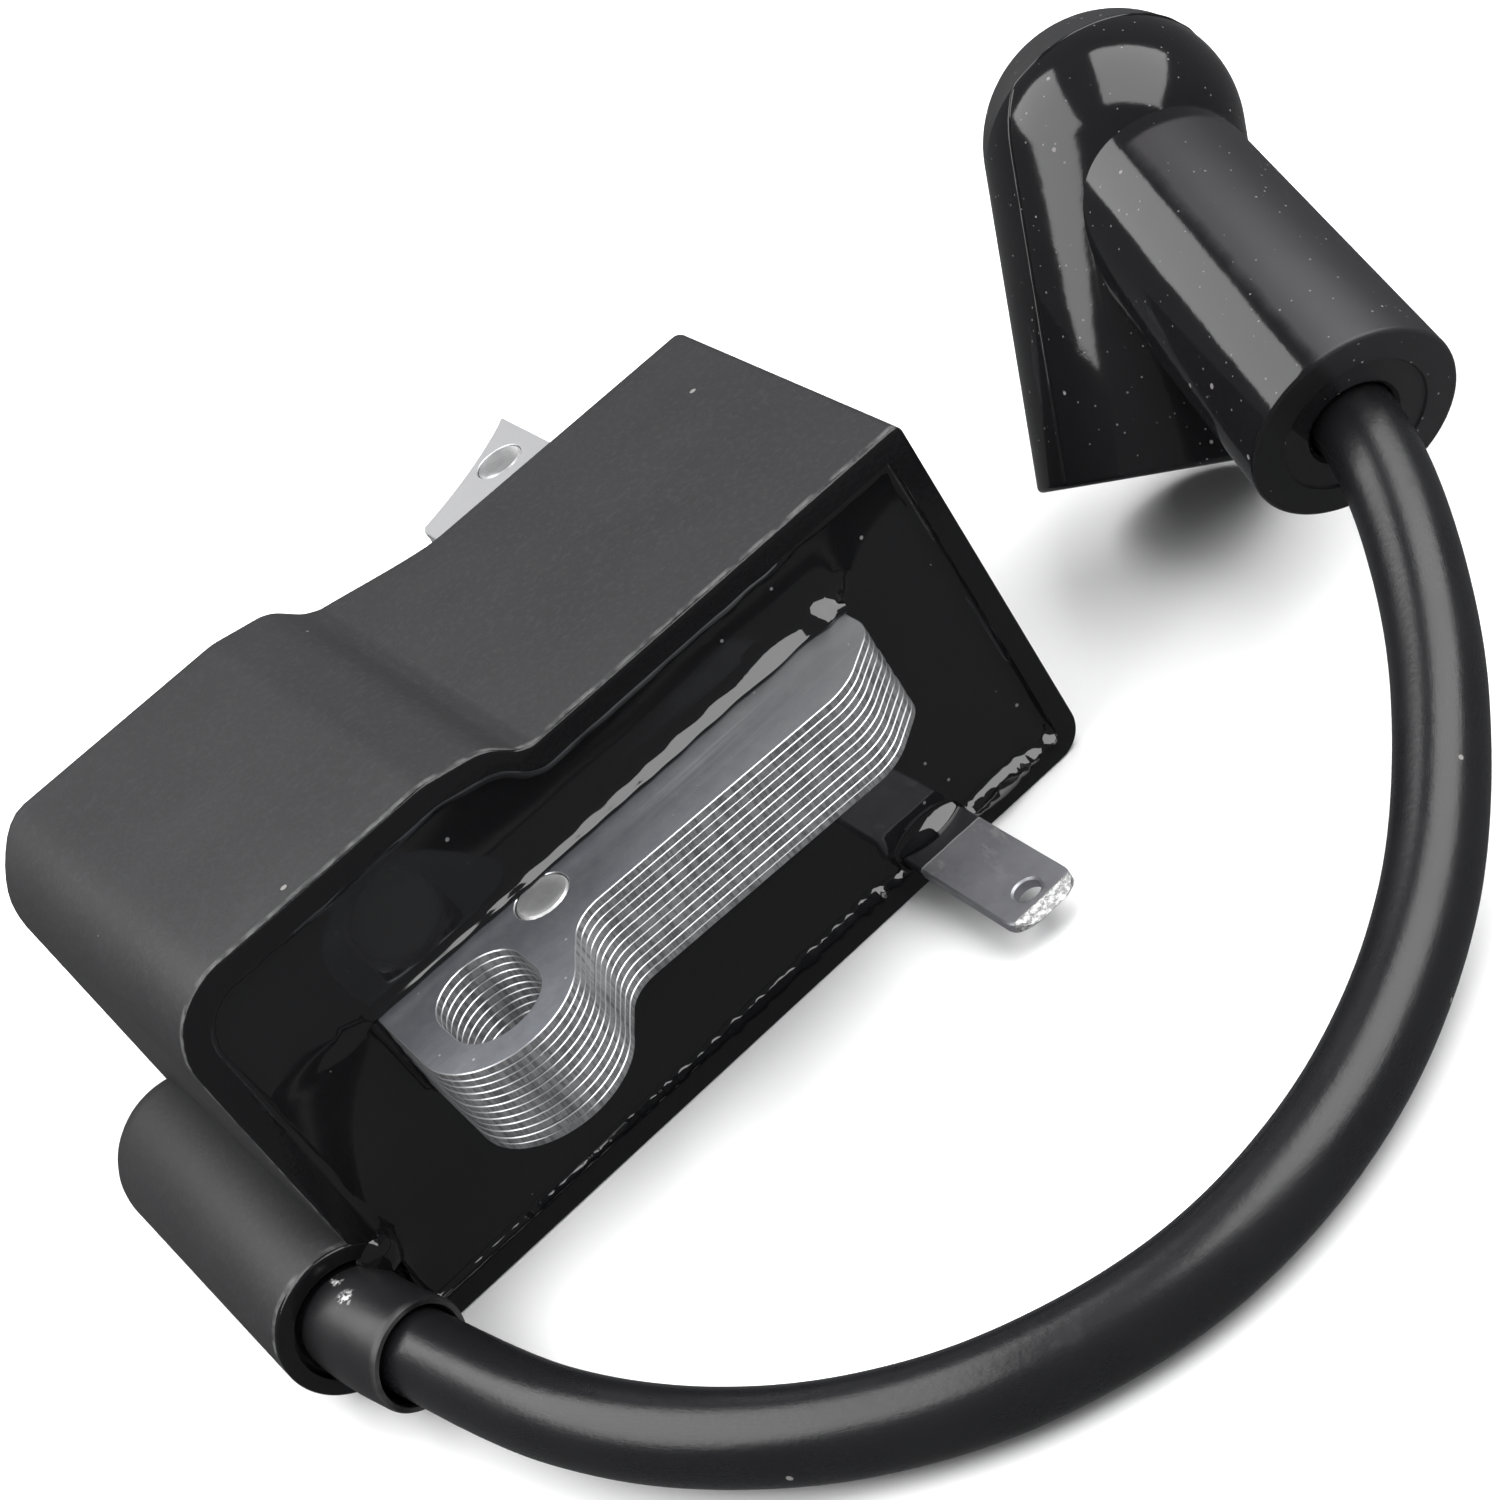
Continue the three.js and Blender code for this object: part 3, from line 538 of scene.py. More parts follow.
def make_grain_group():
    """Moulded grain: a height, and a slow value that mottles colour and gloss."""
    nodes, start, end = shader_group(
        "Moulded Grain", [("Grain Scale", 2500.0), ("Mottle Scale", 90.0)], ("Height", "Mottle"),
    )
    nodes.feed(end, {
        "Height": nodes.noise(start["Vector"], start["Grain Scale"], 3.0, 0.6),
        "Mottle": nodes.noise(start["Vector"], start["Mottle Scale"], 4.0, 0.55),
    })
    return nodes.tree


def make_dust_group():
    """Sparse specks of dust and lint: a mask that is 1 on a speck."""
    nodes, start, end = shader_group("Dust Specks", [("Speck Scale", 700.0), ("Density", 0.05)])
    inputs = {"Vector": start["Vector"], "Scale": start["Speck Scale"]}
    cells = nodes.add("ShaderNodeTexVoronoi", inputs, feature="F1").outputs
    chance = nodes.add("ShaderNodeSeparateColor", {"Color": cells["Color"]}).outputs
    chosen = nodes.math("LESS_THAN", chance["Red"], start["Density"])
    size = nodes.ramp(chance["Green"], 0.0, 1.0, 0.06, 0.2)
    near = nodes.math("LESS_THAN", cells["Distance"], size)
    nodes.feed(end, {"Mask": nodes.times(chosen, near)})
    return nodes.tree


def make_scuff_group():
    """Fine rubs and handling marks: thin streaks of changed gloss, broken up by patches."""
    nodes, start, end = shader_group("Scuffs", [("Scale", 160.0), ("Stretch", (1.0, 1.0, 1.0))])
    stretched = nodes.vector("MULTIPLY", start["Vector"], start["Stretch"])
    thin = nodes.ramp(nodes.noise(stretched, start["Scale"], 6.0, 0.7), 0.56, 0.7)
    broken = nodes.ramp(nodes.noise(start["Vector"], 60.0, 3.0, 0.5), 0.45, 0.62)
    nodes.feed(end, {"Mask": nodes.times(thin, broken)})
    return nodes.tree


def make_edge_group():
    """Convex edges, from the surface's own curvature, broken into chips: used for rubbed edges and for a
    painted edge highlight.
    """
    nodes, start, end = shader_group("Edge Wear and Sheen", [("Low", 0.52), ("High", 0.62)])
    curved = nodes.add("ShaderNodeNewGeometry").outputs["Pointiness"]
    wear_and_sheen = nodes.ramp(curved, start["Low"], start["High"])
    chips = nodes.ramp(nodes.noise(start["Vector"], 400.0, 4.0, 0.6), 0.35, 0.6)
    nodes.feed(end, {"Mask": nodes.math("MULTIPLY", wear_and_sheen, chips, clamp=True)})
    return nodes.tree


GRAIN = make_grain_group()
DUST = make_dust_group()
SCUFFS = make_scuff_group()
EDGES = make_edge_group()


class Finish(Nodes):
    """One material: a Principled BSDF with helpers that feed its sockets."""

    def __init__(self, name, color, roughness, metallic=0.0, **fixed):
        self.material = bpy.data.materials.new(name)
        self.material.use_nodes = True
        super().__init__(self.material.node_tree)
        self.tree.nodes.clear()
        self.color = (*color, 1)
        self.roughness = roughness
        self.height = 0.0
        inputs = {"Base Color": self.color, "Roughness": roughness, "Metallic": metallic}
        inputs.update({label.replace("_", " "): value for label, value in fixed.items()})
        self.shader = self.add("ShaderNodeBsdfPrincipled", inputs)
        self.add("ShaderNodeOutputMaterial", {"Surface": self.shader.outputs["BSDF"]})
        coordinates = self.add("ShaderNodeTexCoord").outputs
        self.object = coordinates["Object"]
        self.normal = coordinates["Normal"]

    def values(self, node_tree, *values):
        """The outputs of a node group whose inputs after the vector are given in order."""
        inputs = dict(enumerate((self.object, *values)))
        return tuple(self.add("ShaderNodeGroup", inputs, node_tree=node_tree).outputs)

    def mask(self, node_tree, *values):
        return self.values(node_tree, *values)[0]

    def cloud(self, scale, detail, roughness):
        return self.noise(self.object, scale, detail, roughness)

    def streaks(self, stretch, scale, detail, roughness):
        """Noise drawn out along the axes whose stretch is small."""
        mapped = self.add("ShaderNodeMapping", {"Vector": self.object, "Scale": stretch})
        return self.noise(mapped.outputs["Vector"], scale, detail, roughness)

    def spot(self, centre, inner, outer):
        """1 within the inner distance of a build point, falling to 0 at the outer one."""
        return self.ramp(self.vector("DISTANCE", self.object, row(centre), "Value"), inner, outer, 1.0, 0.0)

    def reach(self, origin, direction):
        """How far the shaded point lies from an origin along a direction, in metres."""
        along = self.vector("DOT_PRODUCT", self.object, direction, "Value")
        return self.math("SUBTRACT", along, row(origin).dot(direction))

    def paint(self, mask, color, amount=1.0):
        """Mixes a colour over what is there, by a mask."""
        inputs = {"Factor": self.ramp(mask, 0.0, 1.0, 0.0, amount), "A": self.color, "B": (*color, 1)}
        self.color = self.add("ShaderNodeMix", inputs, data_type="RGBA").outputs["Result"]
        self.feed(self.shader, {"Base Color": self.color})
        return self

    def gloss(self, mask, shift):
        """Adds shift to the roughness where the mask is 1."""
        self.roughness = self.math("ADD", self.times(mask, shift), self.roughness, clamp=True)
        self.feed(self.shader, {"Roughness": self.roughness})
        return self

    def raise_by(self, height, amount):
        """Adds a height, in metres, to the bump."""
        self.height = self.math("ADD", self.times(height, amount), self.height)
        return self

    def bump(self):
        inputs = {"Strength": 1.0, "Distance": 1.0, "Height": self.height}
        self.feed(self.shader, {"Normal": self.add("ShaderNodeBump", inputs).outputs["Normal"]})
        return self.material


# ---- materials ----------------------------------------------------------------------------------

def tinted(color, gain, lift):
    return tuple(min(c * gain + lift, 1) for c in color)


def moulded_nylon(name, color, roughness, grain=0.000012, wet_face=False):
    finish = Finish(name, color, roughness, Specular_IOR_Level=0.42)
    height, mottle = finish.values(GRAIN, 2600.0, 120.0)
    scuffs = finish.mask(SCUFFS, 220.0, (0.25, 1.0, 1.0))
    lighter = tinted(color, 1.35, 0.004)
    finish.paint(mottle, lighter, 0.6).paint(finish.ramp(height, 0.5, 0.68), lighter, 0.9)
    finish.paint(scuffs, tinted(color, 1.8, 0.01), 0.35)
    finish.paint(finish.mask(DUST, 900.0, 0.015), (0.35, 0.34, 0.32), 0.5)
    finish.gloss(mottle, 0.1).gloss(scuffs, -0.12)
    if wet_face:
        wet_rim(finish)
    return finish.raise_by(height, grain).bump()


def wet_rim(finish):
    """The open face is wetted by resin: black and glossy, and just behind it a lighter line along the outer
    edge, a painted highlight broken into chips of rubbed wear.
    """
    waver = finish.times(finish.cloud(500.0, 3.0, 0.6), 0.00025)
    depth = finish.math("ADD", finish.part(finish.object, "Y"), waver)
    face = row((0, 0, 0)).y
    wet = finish.ramp(depth, face + 0.00022, face + 0.00028, 1.0, 0.0)
    near = finish.ramp(depth, face + 0.0005, face + 0.0007, 1.0, 0.0)
    chips = finish.ramp(finish.cloud(900.0, 3.0, 0.6), 0.4, 0.6)
    # Painted highlight: a light grey line just behind the wet face, where the rim's outer edge catches the
    # light, broken into chips of rubbed wear.
    finish.paint(finish.times(finish.less(near, wet), chips), (0.1, 0.1, 0.1), 0.9)
    finish.paint(wet, BLACK).gloss(wet, -0.42)


def poured_resin():
    """Black epoxy, almost a mirror, with one patch that cured dull."""
    finish = Finish("poured_resin", BLACK, 0.05, IOR=1.62)
    dust = finish.mask(DUST, 1500.0, 0.02)
    finish.paint(dust, (0.25, 0.25, 0.25), 0.5)
    finish.gloss(dust, 0.5).gloss(finish.mask(SCUFFS, 90.0), 0.1)
    finish.gloss(finish.spot(DULL_RESIN, 0.0021, 0.0031), 0.45)
    return finish.raise_by(finish.cloud(110.0, 2.0, 0.4), 0.00004).bump()


def sheet_steel():
    """Core sheets: brushed faces, bright broken edges, torn sides where they were sheared, cut sides painted
    light as a painted reflection, legs painted light as a painted highlight, and lighter towards the right
    end.
    """
    finish = Finish("stamped_sheet_steel", (0.25, 0.26, 0.29), 0.34, 0.85)
    lines = finish.streaks((0.06, 1.0, 1.0), 5200.0, 4.0, 0.7)
    shear = finish.streaks((1.0, 1.0, 0.12), 3200.0, 3.0, 0.7)
    upright = finish.math("ABSOLUTE", finish.part(finish.normal, "Z"))
    tilted = finish.ramp(upright, 0.2, 0.4)
    bevel = finish.less(tilted, finish.ramp(upright, 0.85, 0.95))
    cut_side = finish.math("SUBTRACT", 1.0, tilted)
    torn = finish.times(cut_side, finish.ramp(shear, 0.42, 0.62))
    # Painted highlight: the core's legs, from 6 to 30 mm back, are painted light grey in place of the softbox
    # they reflect; the same mask makes them rougher.
    painted_leg_light = finish.ramp(finish.part(finish.object, "Y"), row((0, 6, 0)).y, row((0, 30, 0)).y)
    # Lighter towards the right end of the core, from x 22 to 44 mm.
    lighter_right_end = finish.ramp(finish.part(finish.object, "X"), row((22, 0, 0)).x, row((44, 0, 0)).x)
    finish.paint(finish.ramp(finish.cloud(900.0, 5.0, 0.7), 0.35, 0.65), (0.34, 0.35, 0.37), 0.6)
    finish.paint(lighter_right_end, (0.5, 0.5, 0.5), 0.5).paint(painted_leg_light, (0.56, 0.56, 0.57))
    finish.paint(finish.mask(SCUFFS, 1600.0, (0.03, 1.0, 1.0)), (0.7, 0.71, 0.72), 0.25)
    # Painted reflection: the cut sides are painted light grey, standing in for the bright floor they would
    # reflect.
    finish.paint(cut_side, (0.6, 0.6, 0.61), 0.9).paint(bevel, (0.62, 0.63, 0.64), 0.8)
    finish.paint(torn, (0.2, 0.2, 0.21), 0.8)
    finish.paint(finish.mask(DUST, 1900.0, 0.05), (0.8, 0.8, 0.8), 0.7)
    finish.gloss(painted_leg_light, 0.2).gloss(lines, 0.06).gloss(bevel, -0.08)
    return finish.raise_by(lines, 0.000002).raise_by(torn, 0.000008).bump()


def rivet_steel():
    finish = Finish("peened_rivet_steel", (0.42, 0.42, 0.42), 0.45, 0.85)
    dents = finish.cloud(1400.0, 4.0, 0.6)
    finish.paint(dents, (0.28, 0.28, 0.29), 0.9).paint(finish.mask(EDGES, 0.5, 0.56), (0.8, 0.8, 0.8))
    return finish.gloss(dents, 0.15).raise_by(dents, 0.00003).bump()


def tinned_blade():
    """Tinned brass: a torn, coined tip, and a film of resin with a bright edge at the root."""
    finish = Finish("tinned_blade", (0.42, 0.42, 0.45), 0.34, 0.8)
    lines = finish.streaks((1.0, 0.08, 1.0), 4200.0, 4.0, 0.7)
    blots = finish.cloud(300.0, 4.0, 0.6)
    along = finish.part(finish.object, "Y")
    coined = row((0, BLADE_TIP + COIN_LENGTH, 0)).y
    tip = finish.ramp(along, coined - 0.00005, coined + 0.00005, 1.0, 0.0)
    torn = finish.times(tip, finish.ramp(finish.cloud(3000.0, 3.0, 0.7), 0.4, 0.6))
    wetted = finish.math("ADD", along, finish.times(blots, 0.0006))
    film_edge = row((0, FILM_EDGE, 0)).y
    film = finish.ramp(wetted, film_edge, film_edge + 0.00008)
    line = finish.less(finish.ramp(wetted, film_edge - 0.0001, film_edge), film)
    finish.paint(finish.ramp(blots, 0.42, 0.7), (0.24, 0.24, 0.27), 0.5)
    finish.paint(finish.mask(SCUFFS, 900.0, (1.0, 0.3, 1.0)), (0.85, 0.85, 0.85), 0.5)
    finish.paint(film, (0.09, 0.09, 0.1)).paint(line, (0.9, 0.9, 0.9), 0.8)
    finish.paint(tip, (0.3, 0.3, 0.3)).paint(torn, (0.85, 0.85, 0.85))
    finish.gloss(lines, 0.12).gloss(tip, 0.15).gloss(film, -0.1)
    finish.raise_by(lines, 0.000003).raise_by(blots, 0.00001)
    return finish.raise_by(torn, 0.00004).bump()


def drawn_metal(name, color, roughness):
    finish = Finish(name, color, roughness, 1.0)
    dull = finish.cloud(260.0, 4.0, 0.6)
    finish.paint(dull, tinted(color, 0.55, 0.0), 0.7).gloss(dull, 0.2)
    return finish.raise_by(finish.cloud(1800.0, 3.0, 0.6), 0.000006).bump()


def wound_copper(name, wire_pitch):
    """Enamelled wire: rounded turns side by side along Y, with small irregular gaps."""
    finish = Finish(name, (0.48, 0.17, 0.07), 0.3, 0.85, Coat_Weight=0.5)
    bands = {"Vector": finish.object, "Scale": 0.314 / wire_pitch, "Distortion": 0.6, "Detail": 2.0}
    turns = finish.add("ShaderNodeTexWave", bands, wave_type="BANDS", bands_direction="Y").outputs["Fac"]
    patches = finish.cloud(240.0, 3.0, 0.5)
    finish.paint(turns, (0.62, 0.27, 0.12)).paint(patches, (0.3, 0.09, 0.03), 0.5)
    return finish.gloss(patches, 0.15).raise_by(turns, wire_pitch * 0.35).bump()


def circuit_laminate():
    finish = Finish("board_laminate", (0.02, 0.11, 0.045), 0.42)
    weave = finish.add("ShaderNodeTexBrick", {"Vector": finish.object, "Scale": 420.0}).outputs["Fac"]
    slow = finish.cloud(200.0, 3.0, 0.5)
    finish.paint(slow, (0.035, 0.17, 0.07), 0.8).gloss(slow, 0.15)
    return finish.raise_by(weave, 0.000008).bump()


def banded_resistor():
    """Lacquered body with colour bands across its length, along X."""
    finish = Finish("resistor_lacquer", (0.55, 0.42, 0.24), 0.35)
    bands = {"Vector": finish.object, "Scale": 260.0}
    bands = finish.add("ShaderNodeTexWave", bands, wave_type="BANDS", bands_direction="X").outputs["Fac"]
    slow = finish.cloud(500.0, 3.0, 0.5)
    finish.paint(finish.ramp(bands, 0.8, 0.86), (0.2, 0.05, 0.02)).gloss(slow, 0.2)
    return finish.raise_by(slow, 0.00001).bump()


def lead_rubber():
    """Extruded rubber, with faint lines drawn along it."""
    finish = Finish("lead_jacket_rubber", (0.006, 0.006, 0.007), 0.19)
    drawn = finish.add("ShaderNodeUVMap", uv_map="along").outputs["UV"]
    squeezed = finish.add("ShaderNodeMapping", {"Vector": drawn, "Scale": (40.0, 0.25, 1.0)})
    lines = finish.noise(squeezed.outputs["Vector"], 3.0, 4.0, 0.65)
    height, mottle = finish.values(GRAIN, 2400.0, 160.0)
    finish.paint(mottle, (0.011, 0.011, 0.012), 0.7)
    finish.paint(finish.mask(DUST, 800.0, 0.025), (0.3, 0.29, 0.28), 0.6)
    finish.gloss(lines, 0.08).gloss(mottle, 0.1).gloss(finish.mask(SCUFFS, 260.0), 0.12)
    return finish.raise_by(lines, 0.000006).raise_by(height, 0.000012).bump()


def sleeve_rubber():
    """Rubber with a painted highlight along its convex edges and a few crumbs of dried glue."""
    finish = Finish("sleeve_rubber", (0.008, 0.008, 0.009), 0.28)
    height, mottle = finish.values(GRAIN, 2200.0, 300.0)
    finish.paint(mottle, (0.015, 0.015, 0.016), 0.7)
    # Painted highlight: the convex edges, such as the end ring, are painted light grey.
    finish.paint(finish.mask(EDGES, 0.52, 0.6), (0.07, 0.07, 0.07), 0.8).gloss(mottle, 0.2)
    crumbs = finish.ramp(finish.cloud(2600.0, 3.0, 0.6), 0.5, 0.58)
    for centre, size in GLUE_SPOTS:
        dried = finish.times(finish.spot(centre, size * 0.4, size), crumbs)
        finish.paint(dried, (0.55, 0.55, 0.55)).raise_by(dried, 0.00006)
    return finish.raise_by(height, 0.00001).bump()


def boot_rubber():
    """Glossy moulded rubber, duller behind the parting line and on one flank of the sleeve, with a painted
    sheen on both.
    """
    finish = Finish("boot_rubber", BLACK, 0.07)
    along = finish.reach(BOOT_CENTRE, CABLE_AXIS)
    seam = SEAM_OFFSET * MM
    behind = finish.ramp(along, seam - 0.0001, seam, 1.0, 0.0)
    flank_normal = Vector(BAND_EDGE).cross(CABLE_AXIS).normalized()
    waver = finish.times(finish.cloud(500.0, 3.0, 0.6), 0.0006)
    side = finish.math("ADD", finish.reach(BOOT_CENTRE, flank_normal), waver)
    flank = finish.times(finish.ramp(side, 0.0004, 0.0012), finish.ramp(along, 0.0064, 0.0068))
    past_end = finish.ramp(along, (CABLE_LENGTH - 0.12) * MM, (CABLE_LENGTH - 0.02) * MM)
    dull = finish.math("MAXIMUM", finish.math("MAXIMUM", behind, flank), past_end)
    height, mottle = finish.values(GRAIN, 1900.0, 170.0)
    dust = finish.mask(DUST, 1100.0, 0.07)
    finish.paint(mottle, (0.01, 0.01, 0.011), 0.7)
    # Painted sheen: behind the parting line and on the flank the rubber is painted a lighter grey, standing
    # in for the soft sheen of light on its duller surface.
    finish.paint(behind, (0.022, 0.022, 0.023), 0.9).paint(flank, (0.018, 0.0165, 0.019), 0.8)
    finish.paint(dust, (0.3, 0.28, 0.29), 0.6)
    finish.paint(finish.mask(DUST, 2600.0, 0.2), (0.25, 0.25, 0.25), 0.5)
    finish.gloss(dull, 0.36).gloss(mottle, 0.06).gloss(dust, 0.4)
    finish.raise_by(finish.cloud(240.0, 2.0, 0.4), 0.00005)
    return finish.raise_by(height, 0.000004).raise_by(dust, 0.00002).bump()


CASE_PLASTIC = moulded_nylon("case_nylon", (0.017, 0.017, 0.018), 0.48, grain=0.00002, wet_face=True)
BOBBIN_PLASTIC = moulded_nylon("bobbin_nylon", (0.62, 0.58, 0.47), 0.45)
COMPONENT_BLACK = moulded_nylon("component_epoxy", (0.02, 0.02, 0.021), 0.4)
RESIN = poured_resin()
CORE_STEEL = sheet_steel()
RIVET_STEEL = rivet_steel()
BLADE_TIN = tinned_blade()
CONTACT_BRASS = drawn_metal("turned_brass", (0.62, 0.45, 0.2), 0.3)
SPRING_WIRE = drawn_metal("spring_wire", (0.55, 0.55, 0.56), 0.28)
BARE_COPPER = drawn_metal("bare_copper", (0.62, 0.26, 0.12), 0.32)
THICK_COPPER = wound_copper("primary_wire", 0.0004)
THIN_COPPER = wound_copper("secondary_wire", 0.00022)
BOARD = circuit_laminate()
RESISTOR = banded_resistor()
LEAD_RUBBER = lead_rubber()
SLEEVE_RUBBER = sleeve_rubber()
BOOT_RUBBER = boot_rubber()


# ---- case ---------------------------------------------------------------------------------------

def case_front(inset):
    """The case seen along Y, as build (x, z) points, moved inwards by inset."""
    left = inset
    right = CASE_LENGTH - inset
    roof = BULGE_HEIGHT - inset
    deck = CASE_HEIGHT - inset
    return rounded_outline([
        (left, inset, max(2.0 - inset, 0.3)),
        (right, inset, max(2.0 - inset, 0.3)),
        (right, deck, max(0.6 - inset * 0.3, 0.2)),
        (STEP_X, deck, 1.5),
        (STEP_X - 0.9, deck + 0.35, 1.8),
        (STEP_X - 2.4, roof - 0.8, 2.8),
        (BULGE_FLAT_END, roof, 4.5),
        (left, roof, max(4.7 - inset, 0.5)),
    ], 10)


def case_outline(inset, step=1.1):
    """The same outline with points along its straight sides, as many at every inset."""
    guide = case_front(0.0)
    corners = case_front(inset)
    points = []
    for i, j in edge_loop(0, len(corners)):
        pieces = max(1, math.ceil((guide[j] - guide[i]).length / step))
        points.extend(corners[i].lerp(corners[j], k / pieces) for k in range(pieces))
    return points


def smooth_step(value):
    value = min(max(value, 0.0), 1.0)
    return value * value * (3 - 2 * value)


def back_depth(x, inset):
    """How far the case reaches along Y at x: deeper over the coil, with a soft-ended ramp."""
    straight = min(max((x - RAMP_START) / (RAMP_END - RAMP_START), 0.0), 1.0)
    share = 0.65 * straight + 0.35 * smooth_step(straight)
    return BULGE_DEPTH - inset + (CASE_DEPTH - BULGE_DEPTH) * share


def lean(point):
    """The side walls lean outwards and the roof falls a little towards the back."""
    back = point.y / CASE_DEPTH
    across = point.x / CASE_LENGTH
    return Vector((
        point.x + back * (RIGHT_FLARE * across - LEFT_FLARE * (1 - across)),
        point.y,
        point.z * (1 - back * ROOF_FALL / CASE_HEIGHT),
    ))


def outline_normals(points):
    """Inward unit normals of a counter-clockwise outline."""
    normals = []
    for i, here in enumerate(points):
        ahead = points[(i + 1) % len(points)] - points[i - 1]
        normals.append(Vector((-ahead.y, ahead.x)).normalized())
    return normals


def case_rings(inset, start_y, rounding, left_rounding):
    """Rings of a closed-ended sleeve of the case's form, from the open face to the back."""
    base = case_outline(inset)
    normals = outline_normals(base)
    rounds = []
    for point, normal in zip(base, normals):
        above_foot = smooth_step((point.y - FOOT_HEIGHT) / FOOT_HEIGHT / 3)
        rounds.append(rounding + (left_rounding - rounding) * smooth_step(max(normal.x, 0.0)) * above_foot)
    rings = []
    for share in (0.0, 0.33, 0.66, 1.0):
        depths = [back_depth(point.x, inset) - radius for point, radius in zip(base, rounds)]
        rings.append([
            Vector((point.x, start_y + (depth - start_y) * share, point.y))
            for point, depth in zip(base, depths)
        ])
    for c, s in arc(7)[1:]:
        ring = []
        for point, normal, radius in zip(base, normals, rounds):
            flat = point + normal * radius * (1 - c)
            ring.append(Vector((flat.x, back_depth(flat.x, inset) - radius + radius * s, flat.y)))
        rings.append(ring)
    return rings


def distance_inside(point, outline):
    """Distance from a point to an outline, positive inside it and negative outside."""
    inside = False
    nearest = 1e9
    count = len(outline)
    for i in range(count):
        a = outline[i]
        b = outline[(i + 1) % count]
        if (a.y > point.y) != (b.y > point.y):
            if point.x < (b.x - a.x) * (point.y - a.y) / (b.y - a.y) + a.x:
                inside = not inside
        edge = b - a
        share = min(max((point - a).dot(edge) / max(edge.length_squared, 1e-12), 0.0), 1.0)
        nearest = min(nearest, (point - a - edge * share).length)
    return nearest if inside else -nearest


def closed_cup(name, rings, inset):
    """A closed solid from rings: a flat face in front and the case's back behind."""
    verts, faces = loft(rings)
    count = len(rings[-1])
    base = len(verts) - count
    flat = [Vector((p.x, p.z)) for p in rings[-1]]
    grid = [Vector((CASE_LENGTH * i / 36, BULGE_HEIGHT * j / 18)) for i in range(1, 36) for j in range(1, 18)]
    inner = [point for point in grid if distance_inside(point, flat) > 0.7]
    cap, _, tris, _, _, _ = delaunay_2d_cdt(flat + inner, edge_loop(0, count), [], 1, 1e-6)
    verts.extend(Vector((v.x, back_depth(v.x, inset), v.y)) for v in cap[count:])
    faces.extend(tuple(base + i for i in tri) for tri in tris)
    faces.append(tuple(range(count)))
    return tidy_normals(mesh_object(name, [lean(v) for v in verts], faces))


def rounded_end(radius, end, rounding, steps):
    """Profile points of a rounded outer corner, from the side to the end."""
    return [(radius - rounding * (1 - c), end - rounding + rounding * s) for c, s in arc(steps)]


def boss_barrel():
    length = (BOSS_FAR - BOSS_NEAR).length
    edge = 0.18
    profile = [(0, 0)]
    profile += [(BOSS_NEAR_RADIUS - edge + edge * s, edge * (1 - c)) for c, s in arc(4)]
    profile += rounded_end(BOSS_FAR_RADIUS, length + BOSS_END_ROUNDING, BOSS_END_ROUNDING, 8)
    profile.append((0, length + BOSS_END_ROUNDING))
    return turned("barrel", profile, 96, BOSS_AXIS, BOSS_NEAR)


def join_rounded(target, added, offset, segments):
    """Joins a second shape on and rounds the seam where the two meet."""
    for index, obj in enumerate((target, added)):
        while len(obj.data.materials) <= index:
            obj.data.materials.append(None)
        for polygon in obj.data.polygons:
            polygon.material_index = index
    boolean(target, added, "UNION")

    def round_seam(bm):
        seam = [e for e in bm.edges if len({f.material_index for f in e.link_faces}) == 2]
        bmesh.ops.bevel(
            bm, geom=seam, offset=offset, segments=segments, profile=0.5, affect="EDGES",
            clamp_overlap=True,
        )

    rework(target, 0.01, round_seam)


def leg_hole(side):
    """Room for one leg of the core, with a small gap all round."""
    gap = 0.3
    across = sorted(CORE_MID_X + side * reach for reach in (LEG_INNER - gap, LEG_OUTER + gap))
    return block("leg_hole", (across[0], 20, CORE_BOTTOM - gap), (across[1], 40, CORE_TOP + gap))


def make_case():
    rim = RIM_ROUNDING
    lip = []
    for c, s in reversed(arc(4)[1:]):
        lip.append([Vector((p.x, rim * (1 - s), p.y)) for p in case_outline(rim * (1 - c))])
    rings = case_rings(0.0, rim, BACK_ROUNDING, LEFT_BACK_ROUNDING)
    case = closed_cup("case_moulding", lip + rings, 0.0)
    join_rounded(case, boss_barrel(), BOSS_SEAM_FILLET, 4)
    boolean(case, closed_cup("cavity", case_rings(WALL, -0.5, 0.8, 3.0), WALL))
    bore = [(0, -1), (BOSS_BORE_RADIUS, -1), (BOSS_BORE_RADIUS, BOSS_BORE_DEPTH), (0, BOSS_BORE_DEPTH)]
    boolean(case, turned("bore", bore, 64, BOSS_AXIS, BOSS_NEAR))
    boolean(case, block("gate", (-1.2, -1, 4.6), (2.2, 7, 7.6)))
    for side in (-1, 1):
        boolean(case, leg_hole(side))
    place(tidy_normals(case), CASE_PLASTIC, ["case_shell"], 32)


# ---- resin --------------------------------------------------------------------------------------

def rectangle(left, bottom, right, top, gap=0.02):
    """Corners of a rectangle that is a gap larger all round."""
    left, bottom, right, top = left - gap, bottom - gap, right + gap, top + gap
    return [Vector(corner) for corner in ((left, bottom), (right, bottom), (right, top), (left, top))]


def resample(outline, step):
    """Points along a closed outline no further apart than step, keeping its corners."""
    points = []
    for i, here in enumerate(outline):
        ahead = outline[(i + 1) % len(outline)]
        pieces = max(1, math.ceil((ahead - here).length / step))
        points.extend(here.lerp(ahead, k / pieces) for k in range(pieces))
    return points


def fillet_rise(gap, radius, power=2.0):
    """Height of a concave fillet by distance from the wall it climbs: power 2 is a quarter round,
    and a power nearer 1 is closer to a straight bevel."""
    if gap >= radius:
        return 0.0
    share = (radius - gap) / radius
    return radius * (1 - (1 - share ** power) ** (1 / power))


def hump(x, centre, width):
    """A bell curve, 1 at its centre."""
    return math.exp(-(((x - centre) / width) ** 2))


